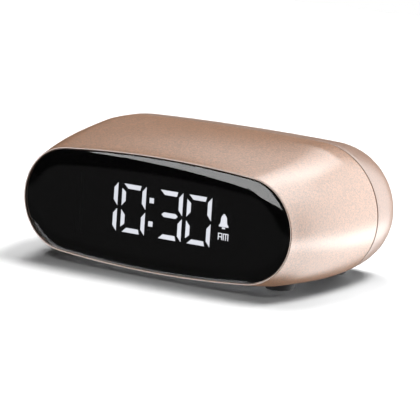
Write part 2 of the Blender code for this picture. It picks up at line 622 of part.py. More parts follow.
def build_battery_bay():
    half = TRAY_INNER_LENGTH / 2
    tray = box("battery_tray", (-half - TRAY_WALL, TRAY_FRONT_Y, TRAY_RIM_Z),
               (half + TRAY_WALL, TRAY_REAR_Y, TRAY_ROOF_Z), BLACK)
    cut(tray, box("tray_hollow", (-half, TRAY_FRONT_Y + TRAY_WALL, TRAY_RIM_Z - 2),
                  (half, TRAY_REAR_Y - TRAY_WALL, TRAY_ROOF_Z - TRAY_WALL), BLACK))
    thickness, wide, tall = CONTACT_SIZE
    cell = [(0, 0), (1.9, 0), (1.9, -1.0), (CELL_RADIUS - 0.6, -1.0), (CELL_RADIUS, -1.5),
            (CELL_RADIUS, 0.4 - CELL_LENGTH), (CELL_RADIUS - 0.4, -CELL_LENGTH), (0, -CELL_LENGTH)]
    for index, facing in enumerate((1, -1)):
        y = cell_y(index)
        plate_x = facing * (half - FIT)
        nub_x = plate_x - facing * (thickness + STACK_GAP)
        low, high = sorted((plate_x, plate_x - facing * thickness))
        box(f"contact_plate_{index + 1}", (low, y - wide, CELL_Z - tall), (high, y + wide, CELL_Z + tall), STEEL)
        turned(f"aaa_cell_{index + 1}", cell, (nub_x, y, CELL_Z), (facing, 0, 0), CELL)
        start_x, end_x = nub_x - facing * (CELL_LENGTH + 0.5), -facing * (half - FIT - 0.5)
        tube(f"battery_spring_{index + 1}", coil(start_x, end_x, y), SPRING_WIRE, STEEL, resolution=1)
    build_door()


def coil(start_x, end_x, y, per_turn=10):
    """The line of a battery spring, which widens from the cell to the tray's end wall."""
    inner, growth = SPRING_RADIUS
    count = int(SPRING_TURNS * per_turn)
    points = []
    for k in range(count + 1):
        share = k / count
        turn = 2 * math.pi * SPRING_TURNS * share
        radius = inner + growth * share
        points.append((start_x + (end_x - start_x) * share, y + radius * math.cos(turn),
                       CELL_Z + radius * math.sin(turn)))
    return points


def build_door():
    stations = [12.0, *(y for y in SHELL_STATIONS if y > 13), SEAM_Y + 1]
    rings = [section(y) for y in stations] + [section(y, DOOR_THICKNESS) for y in reversed(stations)]
    door = loft("battery_door", rings, GOLD, closed=True)
    combine(door, "INTERSECT", belly_box("door_outline", OPENING_HALF - 1.5 * FIT, TRAY_FRONT_Y - FIT / 2,
                                         SEAM_Y - SEAM_GAP, CELL_Z))
    length, wide, height = DOOR_RIB
    for index in (0, 1):
        y = cell_y(index)
        join(door, box(f"door_rib_{index}", (-length, y - wide, door_top(y) - 0.5),
                       (length, y + wide, door_top(y) + height), GOLD))


def door_top(y):
    """Height of the battery door's inner face at depth y."""
    return shell_underside(y) + DOOR_THICKNESS


# ---- Rear keys, switch, buzzer and their board ----
def build_controls():
    front = DEPTH + KEY_PROUD
    tact_back = TACT_Y + TACT_DEPTH
    stem_tip = FLANGE_Y - FLANGE_DEPTH - STEM_DEPTH
    plunger_tip = stem_tip - STACK_GAP
    plunger_start = plunger_tip - PLUNGER_LENGTH
    width, height = KEY_SIZE
    wide, tall = width + 2 * FLANGE, height + 2 * FLANGE
    key = [(3.0, 3.0, 1.2, stem_tip), (3.0, 3.0, 1.2, stem_tip + STEM_DEPTH),
           (wide, tall, tall / 2, stem_tip + STEM_DEPTH), (wide, tall, tall / 2, FLANGE_Y),
           (width, height, height / 2, FLANGE_Y), (width, height, height / 2, front - 0.3),
           (width - 0.6, height - 0.6, height / 2 - 0.3, front)]
    for name, x in KEY_PLACES.items():
        label = name.removesuffix("_key")
        stack(name, key, GOLD_REAR, centre=(x, CONTROL_Z))
        switch = box(f"{label}_switch", (x - TACT_HALF, TACT_Y, CONTROL_Z - TACT_HALF),
                     (x + TACT_HALF, tact_back, CONTROL_Z + TACT_HALF), BLACK)
        cut(switch, cylinder(f"{label}_bore", PLUNGER_RADIUS + FIT, (x, plunger_start - KEY_TRAVEL - FIT, CONTROL_Z),
                             (x, tact_back + 1, CONTROL_Z), BLACK, segments=16))
        cylinder(f"{label}_plunger", PLUNGER_RADIUS, (x, plunger_start, CONTROL_Z), (x, plunger_tip, CONTROL_Z),
                 WHITE, segments=16)
    build_slide_switch()
    pot = [(0, BUZZER_HEIGHT - 1.0), (1.0, BUZZER_HEIGHT - 1.0), (1.0, BUZZER_HEIGHT),
           (BUZZER_RADIUS - 0.4, BUZZER_HEIGHT), (BUZZER_RADIUS, BUZZER_HEIGHT - 0.4), (BUZZER_RADIUS, 0), (0, 0)]
    turned("buzzer", pot, (BUZZER_X, TACT_Y, CONTROL_Z), (0, 1, 0), BLACK, steps=24)
    board = box("key_pcb", (KEY_PCB_X[0], KEY_PCB_Y, CONTROL_Z + KEY_PCB_RISE[0]),
                (KEY_PCB_X[1], KEY_PCB_Y + PCB_THICKNESS, CONTROL_Z + KEY_PCB_RISE[1]), BOARD)
    for index, sign in enumerate((-1, 1), start=1):
        x, z = sign * CONTROL_PITCH, CONTROL_Z + POST_RISE
        cut(board, cylinder(f"key_board_hole_{index}", BOARD_SCREW[2] + FIT, (x, KEY_PCB_Y - 1, z),
                            (x, KEY_PCB_Y + PCB_THICKNESS + 1, z), BOARD, segments=12))
        pan_screw(f"key_board_screw_{index}", BOARD_SCREW, (x, KEY_PCB_Y - STACK_GAP, z), (0, -1, 0))


def build_slide_switch():
    """The alarm's on and off switch: a metal-cased slider on the board and the knob that moves its lever."""
    body_width, body_depth, body_height = SWITCH_SIZE
    half = LEVER_SIZE / 2
    middle = KNOB_X + KNOB_TRAVEL / 2
    slot_y = TACT_Y + LEVER_SIZE
    body = box("slide_switch", (middle - body_width / 2, TACT_Y, CONTROL_Z - body_height / 2),
               (middle + body_width / 2, TACT_Y + body_depth, CONTROL_Z + body_height / 2), STEEL)
    cut(body, box("lever_slot", (KNOB_X - half - FIT, slot_y, CONTROL_Z - half - FIT),
                  (KNOB_X + KNOB_TRAVEL + half + FIT, TACT_Y + body_depth + 1, CONTROL_Z + half + FIT), BLACK))
    knob_start = FLANGE_Y - FLANGE_DEPTH
    box("switch_lever", (KNOB_X - half, slot_y + FIT, CONTROL_Z - half),
        (KNOB_X + half, knob_start - STACK_GAP, CONTROL_Z + half), BLACK)
    width, height = KNOB_SIZE
    flange = (KNOB_FLANGE, height + 2 * FLANGE, 0.8)
    front = DEPTH + KEY_PROUD
    stack("alarm_slider", [(*flange, knob_start), (*flange, FLANGE_Y), (width, height, 0.6, FLANGE_Y),
                           (width, height, 0.6, front - 0.2), (width - 0.4, height - 0.4, 0.5, front)],
          BLACK, centre=(KNOB_X, CONTROL_Z))


# ---- Touch sensor and wiring ----
def build_wiring():
    half, front, back, thickness = TOUCH_PLATE
    top_z = FACE_HALF_HEIGHT + LIP + swell(TOP_SWELL, 13) - WALL - 0.8
    box("touch_plate", (-half, front, top_z - thickness), (half, back, top_z), COPPER)
    touch_line = [(20, 16, top_z - 1.0), (20, 15.0, top_z - 3.0), (21, 14.6, 9.5), (22, 13.6, 8.0)]
    tube("touch_wire", smooth_path(touch_line), TOUCH_WIRE_RADIUS, COPPER)
    roof = TRAY_ROOF_Z
    red_line = [(24.5, TRAY_REAR_Y - 4, roof + 1.0), (24, 30, roof + 2.2), (22, 22, roof + 1.6),
                (15, 16, roof + 1.6), (13, 13.6, roof + 1.8)]
    black_line = [(-24.5, TRAY_REAR_Y - 4, roof + 1.0), (-24, 30, roof + 2.2), (-22, 22, roof + 1.6),
                  (-17, 16, roof + 1.6), (-16, 13.6, roof + 1.8)]
    tube("battery_wire_red", smooth_path(red_line), WIRE_RADIUS, RED)
    tube("battery_wire_black", smooth_path(black_line), WIRE_RADIUS, DARK_WIRE)
    board_back = MAIN_PCB_Y + PCB_THICKNESS
    path = smooth_path([(0, KEY_PCB_Y - 0.3, 6.0), (0, 38.5, 8.0), (0, 30, 11.0), (0, 21, 11.0), (0, 15, 9.4),
                        (0, board_back + 1.1, 8.4)], 3)
    width, thickness = RIBBON_SIZE
    rings = []
    for k, point in enumerate(path):
        ahead = path[min(k + 1, len(path) - 1)] - path[max(k - 1, 0)]
        across = Vector((0, -ahead.z, ahead.y)).normalized() * thickness / 2
        side = Vector((width / 2, 0, 0))
        rings.append([point - side - across, point + side - across, point + side + across, point - side + across])
    loft("ribbon_cable", rings, RIBBON)


def build_case_screws():
    for side, sign in (("left", -1), ("right", 1)):
        seat = (sign * BOSS_X, SCREW_SEAT_Y + STACK_GAP, CONTROL_Z)
        pan_screw(f"case_screw_{side}", CASE_SCREW, seat, (0, 1, 0), steps=18)


build_lens()
build_main_shell()
build_rear_cover()
build_feet()
build_display()
build_board_parts()
build_battery_bay()
build_controls()
build_wiring()
build_case_screws()
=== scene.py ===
"""Looks for the small bedside alarm clock: smooth outer pieces, a lit display, studio light and the camera.

Sizes are in millimetres in the clock's own frame, whose y runs back from the lens plane and whose z is 0 at
the lens's centre. row() and leaned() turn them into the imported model's frame, in metres.
"""

import math

import bmesh
import bpy
from mathutils import Matrix, Vector


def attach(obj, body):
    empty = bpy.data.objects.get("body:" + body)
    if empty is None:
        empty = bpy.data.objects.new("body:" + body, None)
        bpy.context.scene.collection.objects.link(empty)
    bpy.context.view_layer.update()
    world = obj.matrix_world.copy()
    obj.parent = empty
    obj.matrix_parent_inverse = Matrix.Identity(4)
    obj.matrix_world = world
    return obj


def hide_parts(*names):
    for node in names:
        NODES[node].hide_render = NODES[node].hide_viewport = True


MM = 0.001

# ---- Body sizes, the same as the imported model's ----
FACE_HALF_WIDTH = 44.5
FACE_HALF_HEIGHT = 15.7
FACE_END_RADIUS = 14.3
FACE_LEAN = math.radians(3)
LIP = 0.5
DEPTH = 52.4
SIDE_SWELL = (4.92, 1.15, 2.78)
TOP_SWELL = (4.06, 1.345, 2.04)
BOTTOM_SWELL = (1.55, 2.06, 1.34)
WIDEST_Y = 29.3
WIDEST_END_RADIUS = 19.8
REAR_INSET = 8.5
REAR_ROUNDNESS = 2.7
SEAM_Y = 36.45
WALL = 1.8
SEAM_GAP = 0.3
FIT = 0.2
STACK_GAP = 0.1
TONGUE = (1.0, 2.2)
LENS_BULGE = 0.78
LENS_EDGE = 4.6
LENS_BACK_Y = 1.4
LEDGE_Y = (2.0, 3.8)
LEDGE_WIDTH = 4.6
LCD_FRONT_Y = 5.2
CELL_Z = -9.6
TRAY_FRONT_Y = 13.3
TRAY_WALL = 1.0
CELL_SLOT = 10.65
DOOR_THICKNESS = 1.4
OPENING_HALF = 27.05
CONTROL_PITCH = 11.2
KEY_SIZE = (8.4, 4.2)
KEY_PROUD = 0.8
FLANGE = 0.9
KNOB_SIZE = (4.6, 3.0)
KNOB_TRAVEL = 2.4
KNOB_CLEARANCE = 0.4
BUZZER_X = -28.6
SOUND_HOLE_RADIUS = 0.8
SOUND_HOLE_PITCH = 2.6
BOSS_X = FACE_HALF_WIDTH - 6.0
BOSS_RADIUS = 2.6
BOSS_BORE = 1.25
BOSS_END_Y = SEAM_Y - 0.55
TUBE_RADIUS = 3.3
SCREW_SEAT_Y = DEPTH - 6.4
CASE_SCREW = (2.0, 1.6, 1.05, 17.0)     # head radius and height, shank radius and length
FOOT_RADIUS = 4.0
FOOT_X = OPENING_HALF + 0.95 + FOOT_RADIUS
FOOT_Y = (15.5, SEAM_Y + 5.85)
FOOT_POCKET = 0.6
CONTROL_Z = (TOP_SWELL[0] - BOTTOM_SWELL[0]) / 2
BELLY_Z = -(FACE_HALF_HEIGHT + LIP + BOTTOM_SWELL[0])
FLOOR_Z = BELLY_Z - 0.4
FRONT_Y = -LENS_BULGE - (FACE_HALF_HEIGHT - LENS_EDGE) * math.tan(FACE_LEAN)
MID_Y = (FRONT_Y + DEPTH + KEY_PROUD) / 2
REAR_IN_Y = DEPTH - WALL
FLANGE_Y = REAR_IN_Y - FIT
KEY_NAMES = ("time", "alarm", "minus", "plus")
KEY_PLACES = {name: (index - 1.5) * CONTROL_PITCH for index, name in enumerate(KEY_NAMES)}
KNOB_FLANGE = KNOB_SIZE[0] + 2 * KNOB_TRAVEL + 2 * KNOB_CLEARANCE
KNOB_X = KEY_PLACES["plus"] + KEY_SIZE[0] / 2 + FLANGE + KNOB_CLEARANCE + KNOB_FLANGE / 2

# ---- How finely the outer pieces are drawn ----
END_STEPS = 26          # facets in each quarter of a round end
BOW_STEPS = 22          # facets in each half of a bowed side
SMOOTH_ANGLE = 35       # degrees; sharper edges than this stay sharp
CUT_REACH = 3.0         # how far a cutting tool stands out past the surface it cuts
PILL_EASE = 0.01        # keeps a round end's radius just under half its height

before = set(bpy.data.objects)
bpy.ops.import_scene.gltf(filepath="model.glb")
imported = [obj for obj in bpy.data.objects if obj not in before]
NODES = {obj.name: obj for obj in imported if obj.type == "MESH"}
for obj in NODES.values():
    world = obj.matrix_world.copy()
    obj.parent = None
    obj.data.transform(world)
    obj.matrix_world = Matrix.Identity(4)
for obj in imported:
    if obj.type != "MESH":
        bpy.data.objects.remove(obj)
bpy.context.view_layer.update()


def row(point):
    """Clock frame, millimetres, to the row frame, metres."""
    x, y, z = point
    return Vector((x, y - MID_Y, z - FLOOR_Z)) * MM


LEAN_TURN = Matrix.Rotation(-FACE_LEAN, 3, "X")


def leaned(point):
    """A point in the leaning frame of the face, to the row frame."""
    return row(LEAN_TURN @ Vector(point))


# ---- Materials ----
def new_material(name):
    made = bpy.data.materials.new(name)
    made.use_nodes = True
    return made, made.node_tree, made.node_tree.nodes["Principled BSDF"]


def link(tree, source, target):
    tree.links.new(source, target)


def noise(tree, scale, detail=2.0, rough=0.5, stretch=(1, 1, 1)):
    """Noise in the row frame, scale in features per metre."""
    coords = tree.nodes.new("ShaderNodeTexCoord")
    mapping = tree.nodes.new("ShaderNodeMapping")
    mapping.inputs["Scale"].default_value = stretch
    link(tree, coords.outputs["Object"], mapping.inputs["Vector"])
    node = tree.nodes.new("ShaderNodeTexNoise")
    node.inputs["Scale"].default_value = scale
    node.inputs["Detail"].default_value = detail
    node.inputs["Roughness"].default_value = rough
    link(tree, mapping.outputs["Vector"], node.inputs["Vector"])
    return node.outputs["Fac"]


def grains(tree, scale):
    """A random value for each grain, scale in grains per metre."""
    coords = tree.nodes.new("ShaderNodeTexCoord")
    cells = tree.nodes.new("ShaderNodeTexVoronoi")
    cells.inputs["Scale"].default_value = scale
    link(tree, coords.outputs["Object"], cells.inputs["Vector"])
    split = tree.nodes.new("ShaderNodeSeparateColor")
    link(tree, cells.outputs["Color"], split.inputs["Color"])
    return split.outputs["Red"]


def spread(tree, value, low, high, from_low=0.3, from_high=0.7):
    """A value stretched to the range low to high; noise seldom leaves 0.3 to 0.7."""
    node = tree.nodes.new("ShaderNodeMapRange")
    node.inputs["From Min"].default_value = from_low
    node.inputs["From Max"].default_value = from_high
    node.inputs["To Min"].default_value = low
    node.inputs["To Max"].default_value = high
    link(tree, value, node.inputs["Value"])
    return node.outputs["Result"]


def mix(tree, factor, first, second, mode="MIX"):
    node = tree.nodes.new("ShaderNodeMix")
    node.data_type = "RGBA"
    node.blend_type = mode
    for socket, value in ((node.inputs[0], factor), (node.inputs[6], first), (node.inputs[7], second)):
        if isinstance(value, bpy.types.NodeSocket):
            link(tree, value, socket)
        elif isinstance(value, (int, float)):
            socket.default_value = value
        else:
            socket.default_value = (*value, 1)
    return node.outputs[2]


def blend(tree, value, first, second):
    """A colour that goes from first to second as a noise value rises."""
    return mix(tree, spread(tree, value, 0, 1), first, second)


def scaled(colour, factor):
    return tuple(min(1.0, channel * factor) for channel in colour)


def grey(level):
    return (level, level, level)


def paint(tree, shader, colour):
    link(tree, colour, shader.inputs["Base Color"])


def bump(tree, shader, height, strength, distance):
    node = tree.nodes.new("ShaderNodeBump")
    node.inputs["Strength"].default_value = strength
    node.inputs["Distance"].default_value = distance
    link(tree, height, node.inputs["Height"])
    link(tree, node.outputs["Normal"], shader.inputs["Normal"])


def painted_metal(name, colour, roughness, metallic, grain=0.30):
    """Fine-grained metallic paint: flakes about a third of a millimetre across, with slow drift in tone."""
    made, tree, shader = new_material(name)
    flakes = grains(tree, 3200)
    fine = noise(tree, 1500, 2.0)
    drift = noise(tree, 45, 2.0)
    tint = blend(tree, drift, grey(0.97), grey(1))
    speckle = mix(tree, flakes, scaled(colour, 1 - grain), scaled(colour, 1 + grain))
    paint(tree, shader, mix(tree, 1.0, speckle, tint, "MULTIPLY"))
    link(tree, spread(tree, flakes, roughness - 0.04, roughness + 0.04, 0, 1), shader.inputs["Roughness"])
    shader.inputs["Metallic"].default_value = metallic
    shader.inputs["IOR"].default_value = 3.0
    bump(tree, shader, fine, 0.12, 0.03 * MM)
    return made


def moulded(name, colour, roughness, grain_scale=1800, strength=0.25, vary=0.10, specular=0.5):
    """Moulded plastic or plain sheet: a fine skin in bump and roughness, and slow drift in colour."""
    made, tree, shader = new_material(name)
    fine = noise(tree, grain_scale, 2.0)
    drift = noise(tree, 60, 3.0)
    paint(tree, shader, blend(tree, drift, scaled(colour, 1 - vary), scaled(colour, 1 + vary)))
    link(tree, spread(tree, fine, roughness - 0.06, roughness + 0.06), shader.inputs["Roughness"])
    shader.inputs["Specular IOR Level"].default_value = specular
    bump(tree, shader, fine, strength, 0.04 * MM)
    return made


def brushed_steel(name, colour, roughness):
    made, tree, shader = new_material(name)
    streaks = noise(tree, 700, 4.0, 0.6, stretch=(1, 1, 9))
    paint(tree, shader, blend(tree, streaks, scaled(colour, 0.8), colour))
    link(tree, spread(tree, streaks, roughness - 0.07, roughness + 0.1), shader.inputs["Roughness"])
    shader.inputs["Metallic"].default_value = 1.0
    bump(tree, shader, streaks, 0.15, 0.03 * MM)
    return made


def circuit_board():
    """Green solder mask over a grid of traces."""
    made, tree, shader = new_material("board_look")
    coords = tree.nodes.new("ShaderNodeTexCoord")
    traces = tree.nodes.new("ShaderNodeTexBrick")
    traces.inputs["Scale"].default_value = 160
    traces.inputs["Mortar Size"].default_value = 0.035
    traces.inputs["Color1"].default_value = (0.010, 0.085, 0.035, 1)
    traces.inputs["Color2"].default_value = (0.014, 0.105, 0.045, 1)
    traces.inputs["Mortar"].default_value = (0.05, 0.23, 0.10, 1)
    turn = tree.nodes.new("ShaderNodeMapping")
    turn.inputs["Rotation"].default_value = (math.pi / 2, 0, 0)
    link(tree, coords.outputs["Object"], turn.inputs["Vector"])
    link(tree, turn.outputs["Vector"], traces.inputs["Vector"])
    grime = noise(tree, 300, 3.0)
    shade = blend(tree, grime, grey(0.85), grey(1))
    paint(tree, shader, mix(tree, 1.0, traces.outputs["Color"], shade, "MULTIPLY"))
    link(tree, spread(tree, grime, 0.3, 0.5), shader.inputs["Roughness"])
    bump(tree, shader, traces.outputs["Fac"], 0.4, 0.03 * MM)
    return made


def compare(tree, value, operation, limit):
    node = tree.nodes.new("ShaderNodeMath")
    node.operation = operation
    node.inputs[1].default_value = limit
    link(tree, value, node.inputs[0])
    return node.outputs[0]


CELL_BAND_X = 13.5      # from here out, the positive end of a cell has its own colour


def cell_wrap():
    """A printed wrap: a copper-coloured band at the positive end of each cell, dark green along the rest."""
    made, tree, shader = new_material("cell_look")
    coords = tree.nodes.new("ShaderNodeTexCoord")
    split = tree.nodes.new("ShaderNodeSeparateXYZ")
    link(tree, coords.outputs["Object"], split.inputs["Vector"])
    wear = noise(tree, 500, 2.0)
    between_cells = row((0, TRAY_FRONT_Y + TRAY_WALL + CELL_SLOT, 0)).y
    front_cell = compare(tree, split.outputs["Y"], "LESS_THAN", between_cells)
    at_right = compare(tree, split.outputs["X"], "GREATER_THAN", CELL_BAND_X * MM)
    at_left = compare(tree, split.outputs["X"], "LESS_THAN", -CELL_BAND_X * MM)
    wrap = (0.012, 0.07, 0.045)
    band = (0.62, 0.30, 0.13)
    front_colour = mix(tree, at_right, wrap, band)
    rear_colour = mix(tree, at_left, wrap, band)
    body = mix(tree, front_cell, rear_colour, front_colour)
    paint(tree, shader, mix(tree, 1.0, body, blend(tree, wear, grey(0.88), grey(1)), "MULTIPLY"))
    link(tree, spread(tree, wear, 0.22, 0.36), shader.inputs["Roughness"])
    shader.inputs["Metallic"].default_value = 0.35
    return made


def smoked_glass():
    """The lens: dark tinted acrylic, clear enough for the lit display behind it."""
    made, tree, shader = new_material("lens_look")
    tint = noise(tree, 30, 1.0)
    paint(tree, shader, blend(tree, tint, (0.34, 0.34, 0.35), (0.36, 0.36, 0.37)))
    shader.inputs["Roughness"].default_value = 0.0
    shader.inputs["IOR"].default_value = 1.45
    shader.inputs["Transmission Weight"].default_value = 1.0
    return made


def lit(name, colour, strength):
    """A lit display segment, a little uneven as its backlight is."""
    made, tree, shader = new_material(name)
    glow = noise(tree, 120, 1.0)
    shader.inputs["Base Color"].default_value = (0.3, 0.3, 0.32, 1)
    shader.inputs["Roughness"].default_value = 0.5
    link(tree, blend(tree, glow, scaled(colour, 0.93), colour), shader.inputs["Emission Color"])
    shader.inputs["Emission Strength"].default_value = strength
    return made


GOLD = painted_metal("gold_look", (0.56, 0.295, 0.17), 0.32, 0.05)
GOLD_REAR = painted_metal("gold_rear_look", (0.47, 0.275, 0.19), 0.36, 0.05, grain=0.16)
LENS = smoked_glass()
MASK = moulded("mask_look", (0.002, 0.002, 0.002), 0.5, strength=0.1, specular=0.0)
BLACK = moulded("black_look", (0.018, 0.018, 0.020), 0.48)
WHITE = moulded("white_look", (0.72, 0.72, 0.69), 0.48, vary=0.04)
CLEAR = moulded("guide_look", (0.80, 0.84, 0.86), 0.16, strength=0.1, vary=0.03)
LCD = moulded("lcd_look", (0.002, 0.002, 0.002), 0.3, strength=0.05, specular=0.0)
BOARD = circuit_board()
STEEL = brushed_steel("steel_look", (0.62, 0.61, 0.60), 0.28)
COPPER = brushed_steel("copper_look", (0.80, 0.40, 0.24), 0.34)
RUBBER = moulded("rubber_look", (0.022, 0.022, 0.023), 0.78, 900, 0.5)
CELL = cell_wrap()
TAPE = moulded("tape_look", (0.03, 0.03, 0.03), 0.9, 2500, 0.8)
RED = moulded("red_look", (0.50, 0.02, 0.02), 0.42)
DARK_WIRE = moulded("dark_wire_look", (0.02, 0.02, 0.02), 0.42)
RIBBON = moulded("ribbon_look", (0.68, 0.68, 0.66), 0.5)
PRINT = moulded("print_look", (0.10, 0.065, 0.05), 0.55, vary=0.15)
LIT = lit("segment_look", (0.93, 0.95, 1.0), 2.5)


# ---- Mesh builders ----
def made_object(name, bm, mat, smooth=SMOOTH_ANGLE):
    """Turns bm into an object; smooth is the angle up to which edges are smoothed, or 0 for flat faces."""
    bmesh.ops.recalc_face_normals(bm, faces=bm.faces)
    mesh = bpy.data.meshes.new(name)
    bm.to_mesh(mesh)
    bm.free()
    mesh.materials.append(mat)
    if smooth:
        mesh.shade_smooth()
        mesh.set_sharp_from_angle(angle=math.radians(smooth))
    obj = bpy.data.objects.new(name, mesh)
    bpy.context.scene.collection.objects.link(obj)
    return obj


def skin(bm, rings, closed=False, where=row):
    """Adds a lofted island to bm; closed joins the last ring to the first, else both ends are capped."""
    loops = [[bm.verts.new(where(point)) for point in ring] for ring in rings]
    pairs = list(zip(loops, loops[1:]))
    if closed:
        pairs.append((loops[-1], loops[0]))
    for near, far in pairs:
        for i in range(len(near)):
            j = (i + 1) % len(near)
            bm.faces.new((near[i], near[j], far[j], far[i]))
    if not closed:
        bm.faces.new(loops[0])
        bm.faces.new(loops[-1])


def loft(name, rings, mat, closed=False, where=row, smooth=SMOOTH_ANGLE):
    bm = bmesh.new()
    skin(bm, rings, closed, where)
    return made_object(name, bm, mat, smooth)


AXES = {"x": Vector((1, 0, 0)), "y": Vector((0, 1, 0)), "z": Vector((0, 0, 1))}


def circle(radius, centre, along, steps=32):
    """A ring about the x, y or z axis through centre."""
    points = []
    for k in range(steps):
        turn = 2 * math.pi * k / steps
        a, b = radius * math.cos(turn), radius * math.sin(turn)
        offset = {"x": (0, a, b), "y": (a, 0, b), "z": (a, b, 0)}[along]
        points.append(Vector(centre) + Vector(offset))
    return points


def turned(name, profile, origin, along, mat, steps=32, closed=False):
    """Revolves (radius, distance) pairs about an axis; distance runs along it from origin."""
    return loft(name, turned_rings(profile, origin, along, steps), mat, closed)


def turned_rings(profile, origin, along, steps=32):
    centre, axis = Vector(origin), AXES[along]
    return [circle(radius, centre + axis * distance, along, steps) for radius, distance in profile]


def rounded(width, height, radius, y, centre=(0, 0), steps=8):
    """A rectangle with round corners, upright at depth y."""
    points = []
    for quarter, (sx, sz) in enumerate(((1, 1), (-1, 1), (-1, -1), (1, -1))):
        for k in range(steps + 1):
            turn = math.radians(90 * quarter + 90 * k / steps)
            points.append(Vector((centre[0] + sx * (width / 2 - radius) + radius * math.cos(turn), y,
                                  centre[1] + sz * (height / 2 - radius) + radius * math.sin(turn))))
    return points


def soft_stack(width, height, radius, start, end, edge, centre, steps=5):
    """Rings of a rounded bar from start to end whose far edge is rounded over by edge."""
    rings = [rounded(width, height, radius, start, centre)]
    for k in range(steps + 1):
        turn = math.radians(90 * k / steps)
        inward = edge * (1 - math.cos(turn))
        rings.append(rounded(width - 2 * inward, height - 2 * inward, radius - inward,
                             end - edge + edge * math.sin(turn), centre))
    return rings


def flared_hole(width, height, radius, start, surface, flare, centre, steps=5):
    """Rings of a cutter that leaves a rounded edge where it comes out at surface."""
    rings = [rounded(width, height, radius, start, centre)]
    for k in range(steps + 1):
        turn = math.radians(90 * k / steps)
        outward = flare * (1 - math.cos(turn))
        rings.append(rounded(width + 2 * outward, height + 2 * outward, radius + outward,
                             surface - flare + flare * math.sin(turn), centre))
    rings.append(rounded(width + 2 * flare, height + 2 * flare, radius + flare, surface + CUT_REACH, centre))
    return rings


def block(low, high):
    """The two rings of a box between opposite corners."""
    (x0, y0, z0), (x1, y1, z1) = low, high
    return [[Vector((x, y, z)) for x, y in ((x0, y0), (x1, y0), (x1, y1), (x0, y1))] for z in (z0, z1)]


def boolean(target, operation, *ring_sets):
    """Cuts or joins with a lofted tool for each set of rings, and applies the result."""
    tools = []
    for rings in ring_sets:
        tool = loft("tool", rings, target.data.materials[0])
        modifier = target.modifiers.new("tool", "BOOLEAN")
        modifier.operation = operation
        modifier.solver = "EXACT"
        modifier.object = tool
        tools.append(tool)
    graph = bpy.context.evaluated_depsgraph_get()
    mesh = bpy.data.meshes.new_from_object(target.evaluated_get(graph))
    target.modifiers.clear()
    target.data = mesh
    bm = bmesh.new()
    bm.from_mesh(mesh)
    bmesh.ops.triangulate(bm, faces=[face for face in bm.faces if len(face.verts) > 4])
    bm.to_mesh(mesh)
    bm.free()
    mesh.shade_smooth()
    mesh.set_sharp_from_angle(angle=math.radians(SMOOTH_ANGLE))
    for tool in tools:
        bpy.data.objects.remove(tool, do_unlink=True)


def joined(target, *others):
    """Moves the faces of the others into target, each staying a shell of its own."""
    bm = bmesh.new()
    bm.from_mesh(target.data)
    for other in others:
        bm.from_mesh(other.data)
    bm.to_mesh(target.data)
    bm.free()
    target.data.set_sharp_from_angle(angle=math.radians(SMOOTH_ANGLE))
    for other in others:
        bpy.data.objects.remove(other, do_unlink=True)


def stands_for(obj, body, slot, *nodes):
    """Puts a piece on its body, in place of the nodes that it stands for; the slot argument is not used."""
    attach(obj, body)
    if nodes:
        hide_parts(*nodes)


# ---- The body's outline at any depth ----
def bowed_quarter(half_width, half_height, end_radius):
    """One quarter of an oval of four arcs, from its end to the middle of its bowed side."""
    end_radius = min(end_radius, half_height - 0.05)
    centre_x = half_width - end_radius
    bow_radius = (centre_x ** 2 + half_height ** 2 - end_radius ** 2) / (2 * (half_height - end_radius))
    meet = math.atan2(bow_radius - half_height, centre_x)
    points = []
    for k in range(END_STEPS):
        turn = meet * k / END_STEPS
        points.append((centre_x + end_radius * math.cos(turn), end_radius * math.sin(turn)))
    for k in range(BOW_STEPS + 1):
        turn = meet + (math.pi / 2 - meet) * k / BOW_STEPS
        points.append((bow_radius * math.cos(turn), half_height - bow_radius + bow_radius * math.sin(turn)))
    return points


def oval(half_width, top, bottom, end_radius):
    """The whole outline as (x, z), counter-clockwise from its right-hand end."""
    up = bowed_quarter(half_width, top, end_radius)
    down = bowed_quarter(half_width, bottom, end_radius)
    return ([*up] + [(-x, z) for x, z in reversed(up[:-1])]
            + [(-x, -z) for x, z in down[1:]] + [(x, -z) for x, z in reversed(down[1:-1])])


def swell(kind, y):
    reach, start, ease = kind
    u = min(max(y / WIDEST_Y, 0), 1)
    return reach * (1 - (1 - u ** start) ** ease)


def rear_draw(y, depth=DEPTH):
    """How far the outline has drawn in on its way to the flat of the rear."""
    u = min(max((y - WIDEST_Y) / (depth - WIDEST_Y), 0), 1)
    return REAR_INSET * (1 - (1 - u ** REAR_ROUNDNESS) ** (1 / REAR_ROUNDNESS))


def leaning(points, y):
    """The face leans back, and the lean fades out towards the rear."""
    share = min(max(1 - y / DEPTH, 0), 1)
    return [Vector((x, y + z * math.tan(FACE_LEAN) * share, z)) for x, z in points]


def section(y, inset=0.0, depth=DEPTH):
    """The body's outline at depth y, set in by a wall."""
    inward = inset + rear_draw(y, depth) - LIP
    share = min(max(y / WIDEST_Y, 0), 1)
    end_radius = FACE_END_RADIUS * (1 - share) + (WIDEST_END_RADIUS - LIP) * share - inward
    return leaning(oval(FACE_HALF_WIDTH + swell(SIDE_SWELL, y) - inward,
                        FACE_HALF_HEIGHT + swell(TOP_SWELL, y) - inward,
                        FACE_HALF_HEIGHT + swell(BOTTOM_SWELL, y) - inward, end_radius), y)


def face_ring(y, inset):
    """The lens outline, set in, at depth y."""
    return leaning(oval(FACE_HALF_WIDTH - inset, FACE_HALF_HEIGHT - inset, FACE_HALF_HEIGHT - inset,
                        FACE_END_RADIUS - inset), y)


def underside(y):
    """Height of the shell's flat underside at depth y."""
    return -(FACE_HALF_HEIGHT + LIP + swell(BOTTOM_SWELL, y) - rear_draw(y))


